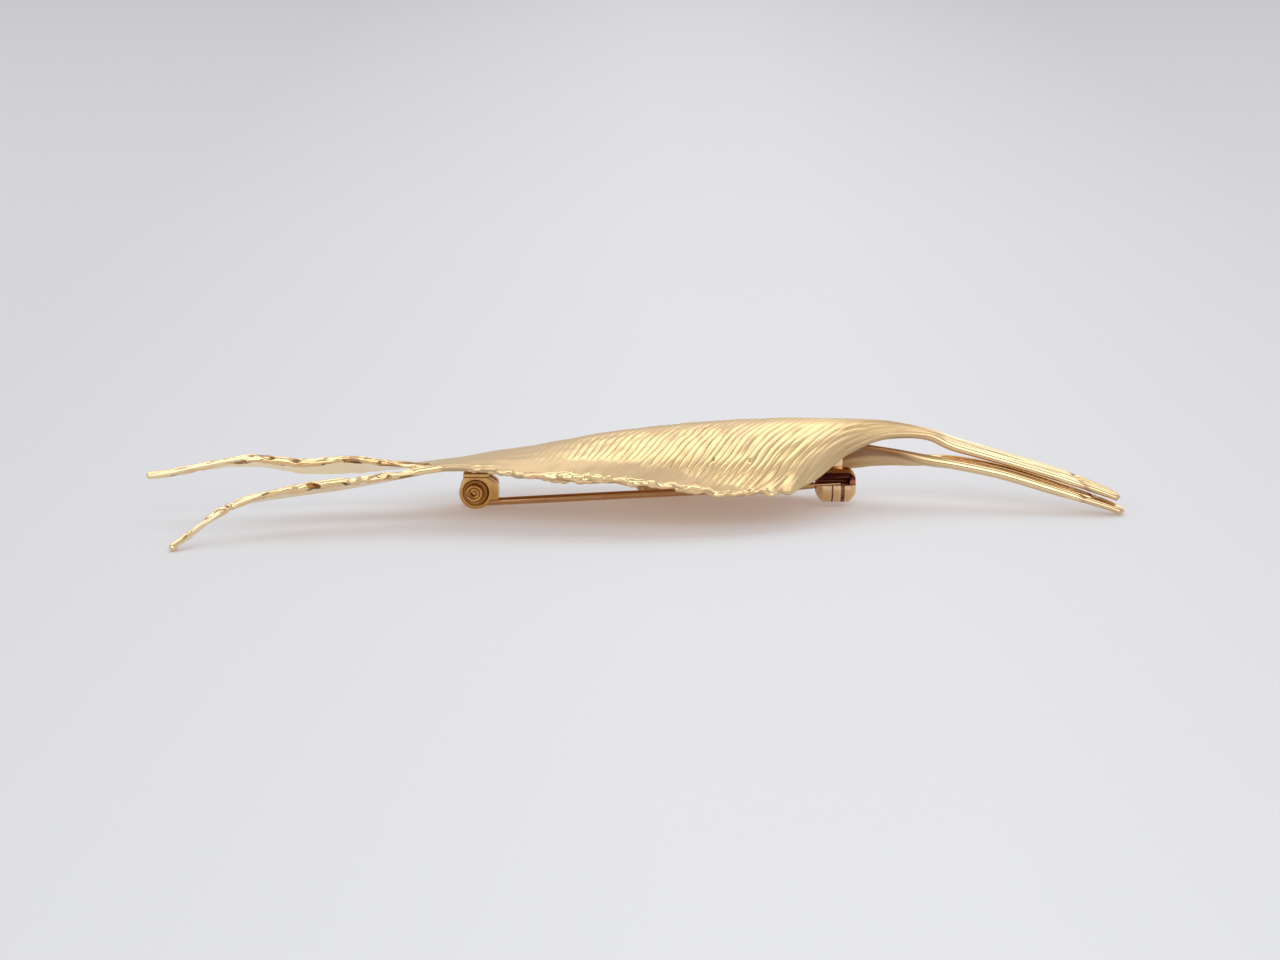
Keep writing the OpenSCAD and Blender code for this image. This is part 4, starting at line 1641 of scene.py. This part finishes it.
@dataclass(frozen=True)
class PolishedGold:
    """Polished gold, with dents and brighter worn edges; on lumpy pieces painted shade darkens the hollows
    instead.
    """

    metal: Metal
    tone: Colour = (0.90, 0.68, 0.36)
    warm: Colour = (0.88, 0.58, 0.34)
    # darker tone away from the worn edges, and on lumpy pieces the painted shade in their hollows
    wear_and_shade: Colour = (0.50, 0.29, 0.12)
    drifts: float = 500.0  # clouds to a metre
    drift: float = 0.7
    rough: float = 0.14
    uneven_rough: Pair = (-0.04, 0.08)
    cloud_span: Pair = (0.3, 0.7)  # cloud up to which it is least, and from which it is most
    dents: float = 900.0  # to a metre
    dented: float = 0.35
    worn_share: float = 0.35  # share of the darker tone away from the worn edges
    lumpy: bool = False  # whether the piece's own relief puts painted shade in its hollows instead
    lumpy_relief: Pair = (0.10, 0.62)  # relief up to which that painted shade is full, and where it ends

    def material(self, groups: Groups) -> bpy.types.Material:
        """Builds the material.

        Args:
            groups: The shared node groups by name.

        Returns:
            The material.
        """
        material, graph = new_material(self.metal.value)
        drift = graph.add("Group", {
            "Tone": (*self.tone, 1), "Other": (*self.warm, 1), "Scale": self.drifts, "Amount": self.drift,
        }, node_tree=groups["tone"])
        skin = graph.add("Group", {"Dents": self.dents, "Strength": self.dented}, node_tree=groups["skin"])
        if self.lumpy:
            share = graph.spread(graph.mark("relief"), 1.0, 0.0, *self.lumpy_relief)
        else:
            share = graph.spread(skin.outputs["Wear"], self.worn_share, 0.0)
        colour = graph.blend(share, drift.outputs["Colour"], (*self.wear_and_shade, 1))
        least, most = self.rough + self.uneven_rough[0], self.rough + self.uneven_rough[1]
        rough = graph.spread(skin.outputs["Cloud"], least, most, *self.cloud_span)
        metal = graph.add("BsdfPrincipled", {"Base Color": colour, "Roughness": rough, "Metallic": 1.0,
                                             "Normal": skin.outputs["Normal"]})
        graph.add("OutputMaterial", {"Surface": metal.outputs[0]})
        return material


def aim(at: Triple, target: Triple) -> Euler:
    """Finds the turn of a lamp or camera.

    Args:
        at: Where it stands.
        target: What it faces.

    Returns:
        The turn.
    """
    return (Vector(target) - Vector(at)).to_track_quat("-Z", "Y").to_euler()


@dataclass(frozen=True)
class Softbox:
    """A soft rectangular light that faces the brooch."""

    name: str
    at: Triple
    size: Pair
    power: float  # in watts
    colour: Colour

    def hang(self) -> None:
        """Hangs the light."""
        lamp = bpy.data.lights.new(self.name, "AREA")
        lamp.shape = "RECTANGLE"
        lamp.size, lamp.size_y = self.size
        lamp.energy, lamp.color = self.power, self.colour
        holder = bpy.data.objects.new(self.name, lamp)
        holder.location, holder.rotation_euler = self.at, aim(self.at, (0.0, 0.0, 0.0))
        bpy.context.scene.collection.objects.link(holder)


@dataclass
class Studio:
    """The pale seamless table, the soft light, the air and the camera, all in metres.

    The table glows softly, which is painted fill light that lightens the shade under the brooch, and
    painted falloff shade darkens it towards its sides and its back.
    """

    left: float = -3.5
    right: float = 3.5
    front: float = -2.5
    back: float = 3.0
    cool: tuple[Colour, Colour] = ((0.405, 0.500, 0.560), (0.420, 0.510, 0.572))
    # painted falloff shade: the table's colour towards its sides and back
    falloff_shade: Colour = (0.322, 0.394, 0.442)
    # painted fill light that the table gives off, and the same where painted falloff shade darkens it
    glow: Colour = (0.310, 0.213, 0.170)
    dim_glow: Colour = (0.242, 0.166, 0.133)
    bright_x: float = 0.012  # x of the line where the painted pool of light is brightest
    dims_aside: Pair = (0.01, 0.08)  # distances from that line over which painted falloff shade sets in
    dims_back: Pair = (0.15, 0.55)  # y over which painted falloff shade sets in
    dim_shares: Pair = (0.6, 0.4)  # how much painted falloff shade each of the two brings
    clouds: float = 2.5  # to a metre
    rough: float = 0.75
    shine: float = 0.2
    lights: tuple[Softbox, ...] = (
        Softbox("overhead", (0.0, 0.376, 0.706), (1.1, 0.58), 2.3, (0.96, 0.98, 0.96)),
        Softbox("front", (0.0, -0.62, 0.50), (1.6, 0.60), 5.0, (1.0, 0.99, 0.97)),
    )
    air_front: Colour = (0.30, 0.30, 0.31)
    air_back: Colour = (0.70, 0.70, 0.72)
    air_fades: Pair = (-0.9, 0.1)  # from front to back, as the y of the direction
    target: Triple = (0.0002, 0.002, 0.003)
    distance: float = 0.26
    elevation: float = 14.0
    lens: float = 86.3

    def table(self) -> None:
        """Lays the table, which reaches far past the brooch on every side."""
        corners = [(self.left, self.front, 0.0), (self.right, self.front, 0.0),
                   (self.right, self.back, 0.0), (self.left, self.back, 0.0)]
        table = add_mesh("table", np.array(corners) / MM, [(0, 1, 2, 3)])
        material, graph = new_material("pale_table")
        place = graph.add("TexCoord").outputs["Object"]
        cloud = graph.add("TexNoise", {"Vector": place, "Scale": self.clouds, "Detail": 2.0})
        cool = graph.blend(cloud.outputs["Fac"], *((*tone, 1) for tone in self.cool))
        split = graph.add("SeparateXYZ", {0: place})
        # painted falloff shade away from the bright line and towards the back
        aside = graph.math("ABSOLUTE", graph.math("SUBTRACT", split.outputs[0], self.bright_x))
        edge = graph.spread(aside, 0.0, 1.0, *self.dims_aside)
        back = graph.spread(split.outputs[1], 0.0, 1.0, *self.dims_back)
        parts = zip((edge, back), self.dim_shares)
        falloff_shade = graph.math("ADD", *(graph.math("MULTIPLY", share, amount) for share, amount in parts))
        surface = graph.add("BsdfPrincipled", {
            "Base Color": graph.blend(falloff_shade, cool, (*self.falloff_shade, 1)),
            "Roughness": self.rough, "Specular IOR Level": self.shine, "Emission Strength": 1.0,
            "Emission Color": graph.blend(falloff_shade, (*self.glow, 1), (*self.dim_glow, 1))})
        graph.add("OutputMaterial", {"Surface": surface.outputs[0]})
        table.data.materials.append(material)

    def air(self) -> None:
        """Fills the air with soft light that is stronger at the back."""
        world = bpy.data.worlds.new("air")
        world.use_nodes = True
        graph = Graph(world.node_tree)
        backwards = graph.add("SeparateXYZ", {0: graph.add("TexCoord").outputs["Generated"]}).outputs[1]
        share = graph.spread(backwards, 0.0, 1.0, *self.air_fades)
        air = graph.blend(share, (*self.air_front, 1), (*self.air_back, 1))
        graph.add("OutputWorld", {"Surface": graph.add("Background", {0: air}).outputs[0]})
        bpy.context.scene.world = world

    def camera(self) -> None:
        """Sets up the camera in front of the brooch."""
        lens = bpy.data.cameras.new("camera")
        lens.lens, lens.sensor_width, lens.clip_start = self.lens, 36.0, 0.01
        camera = bpy.data.objects.new("camera", lens)
        rise = math.radians(self.elevation)
        camera.location = Vector(self.target) + self.distance * Vector((0, -math.cos(rise), math.sin(rise)))
        camera.rotation_euler = aim(camera.location, self.target)
        bpy.context.scene.collection.objects.link(camera)
        bpy.context.scene.camera = camera

    def set_up(self) -> None:
        """Sets up the table, the lights, the air and the camera."""
        bpy.context.scene.view_settings.view_transform = "Standard"
        self.table()
        for light in self.lights:
            light.hang()
        self.air()
        self.camera()


@dataclass
class Brooch:
    """All pieces of the brooch, their finishes and the bodies that they ride on."""

    groups: Groups = field(default_factory=dict)
    finishes: dict[Metal, bpy.types.Material] = field(default_factory=dict)

    def mix_finishes(self) -> None:
        """Builds the shared groups and the finishes."""
        self.groups = {"tone": tone_group(), "grain": grain_group(), "skin": skin_group()}
        finishes = (
            SatinGold(),
            PolishedGold(Metal.POLISHED),
            # the pin's own gold, darkened further as painted shade from the sheet above it
            PolishedGold(Metal.PIN, tone=(0.70, 0.43, 0.22), warm=(0.60, 0.34, 0.17), rough=0.30,
                         dents=500.0),
            PolishedGold(Metal.RECESS_SHADE, tone=(0.42, 0.18, 0.045), warm=(0.33, 0.13, 0.03), rough=0.3),
            # the hinge's browner, darker gold paints the reflection of the shaded table in its faces
            PolishedGold(Metal.HINGE, tone=(0.76, 0.47, 0.17), warm=(0.62, 0.34, 0.11), rough=0.20,
                         dents=700.0),
            # the rim's relief paints dark shade into the hollows between its lumps
            PolishedGold(Metal.RIM, rough=0.11, dents=1400.0, wear_and_shade=(0.22, 0.10, 0.03), lumpy=True),
            PolishedGold(Metal.SHADOWED, tone=(0.25, 0.07, 0.05), warm=(0.19, 0.05, 0.04), rough=0.34),
        )
        self.finishes = {finish.metal: finish.material(self.groups) for finish in finishes}

    def place(self, piece: bpy.types.Object, finish: Metal, slot: str, body: str, stands_for: str) -> None:
        """Dresses a piece and fixes it to its body.

        Args:
            piece: The piece.
            finish: Which finish it gets.
            slot: The record's material slot that it stands for; not used.
            body: The body that it rides on.
            stands_for: The CAD node that it replaces.
        """
        if piece.data.materials:
            piece.data.materials[0] = self.finishes[finish]
        else:
            piece.data.materials.append(self.finishes[finish])
        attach(piece, body)
        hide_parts(stands_for)
        log.info("%s: %d faces on %s", piece.name, len(piece.data.polygons), body)

    def build(self) -> None:
        """Builds every piece in order."""
        near, far = self.halves()
        for half in (near, far):
            self.place(half.build(), Metal.SATIN, "satin_gold", "root", "feather")
        for bead in self.beads(near, far):
            self.place(bead.build(), Metal.RIM, "polished_gold", "root", "feather")
        hinge = Hinge()
        for piece in (hinge.ear(-1), hinge.ear(1), hinge.plate(), hinge.web(), hinge.lump()):
            self.place(piece, Metal.HINGE, "polished_gold", "root", "feather")
        self.place(hinge.rivet(), Metal.HINGE, "polished_gold", "root", "hinge_rivet")
        self.place(Pin().build(), Metal.PIN, "pin_gold", "pin", "pin_stem")
        catch = Catch()
        self.place(catch.barrel(), Metal.POLISHED, "polished_gold", "root", "feather")
        self.place(catch.post(), Metal.POLISHED, "polished_gold", "root", "feather")
        self.place(catch.lock(), Metal.SHADOWED, "polished_gold", "lock", "catch_lock")

    def halves(self) -> tuple[Half, Half]:
        """Describes the two halves.

        Returns:
            The near half and the far half.
        """
        near_crest = (
            (-18.6, -19.8), (-15.0, -17.2), (-11.8, -14.6), (-8.27, -10.82), (-3.19, -7.0), (1.89, -3.36),
            (6.98, 1.22), (12.06, 5.71), (17.15, 9.95), (20.5, 12.2), (24.9, 12.7),
        )
        far_crest = (
            (-20.2, -20.6), (-12.0, -15.8), (-4.8, -9.6), (3.6, -1.6), (6.2, 0.6), (10.2, 4.8), (13.6, 9.0),
            (16.8, 13.2), (19.6, 14.6), (22.2, 15.2), (24.6, 15.4),
        )
        # both halves get painted shade on the quill's front edge; the far one also under the near half and,
        # more faintly, in its grooves
        near = Half("near_vane", NEAR_ROWS, Barbs(20, near_crest, 15.0), 20, flank_shade=0.45,
                    pits=((6.35, -2.18), (9.3, -1.8)))
        far = Half("far_vane", FAR_ROWS, Barbs(75, far_crest, 17.5), 75, tucked_shade=1.0, flank_shade=0.30, flute_shade=1.0,
                   nick=38.2)
        return near, far

    def beads(self, near: Half, far: Half) -> list[Bead]:
        """Describes the melted beads along the edges.

        Args:
            near: The near half.
            far: The far half.

        Returns:
            The beads.
        """
        near_rim = (
            (-15.5, 0.14), (-13.0, 0.24), (-8.6, 0.25), (-8.0, 0.33), (-6.6, 0.37), (-3.6, 0.37),
            (-2.8, 0.29), (9.0, 0.30), (12.0, 0.27), (13.2, 0.10),
        )
        far_rim = ((-16.5, 0.12), (-14.0, 0.28), (12.0, 0.30), (15.5, 0.10))
        near_tail = (
            (-38.0, 0.27), (-36.0, 0.30), (-30.0, 0.33), (-20.0, 0.30), (-16.5, 0.29), (-15.3, 0.25),
            (-15.0, 0.14),
        )
        far_tail = (
            (-41.3, 0.27), (-38.0, 0.31), (-30.0, 0.33), (-22.0, 0.30), (-19.0, 0.28), (-17.5, 0.25),
            (-17.0, 0.12),
        )
        near_middle = ((-38.0, 1.0), (-34.0, 0.6), (-31.0, 0.0))
        far_middle = ((-41.3, 1.0), (-38.5, 0.8), (-36.0, 0.4), (-33.0, 0.12), (-30.0, 0.0))
        hammered = {"lump": (0.9, 0.4, 0.05), "facets": 2.6, "inset": 0.05}
        return [
            Bead("near_rim", near, Edge.OUTER, (-15.5, 13.2), near_rim, 31, lump=(0.50, 0.26, 0.27),
                 dense=1.5, inset=0.0),
            Bead("far_rim", far, Edge.OUTER, (-16.5, 15.5), far_rim, 32, lump=(0.46, 0.24, 0.22)),
            Bead("near_tail_ridge", near, Edge.OUTER, (-37.9, -15.0), near_tail, 33, to_middle=near_middle,
                 **hammered),
            Bead("far_tail_ridge", far, Edge.INNER, (-41.3, -17.0), far_tail, 34, to_middle=far_middle,
                 **hammered),
        ]


def main() -> None:
    """Builds the brooch and its studio, and logs each piece's face count."""
    logging.basicConfig(level=logging.INFO, format="%(name)s: %(message)s")
    brooch = Brooch()
    brooch.mix_finishes()
    brooch.build()
    Studio().set_up()
    bpy.context.view_layer.update()


if __name__ == "__main__":
    main()
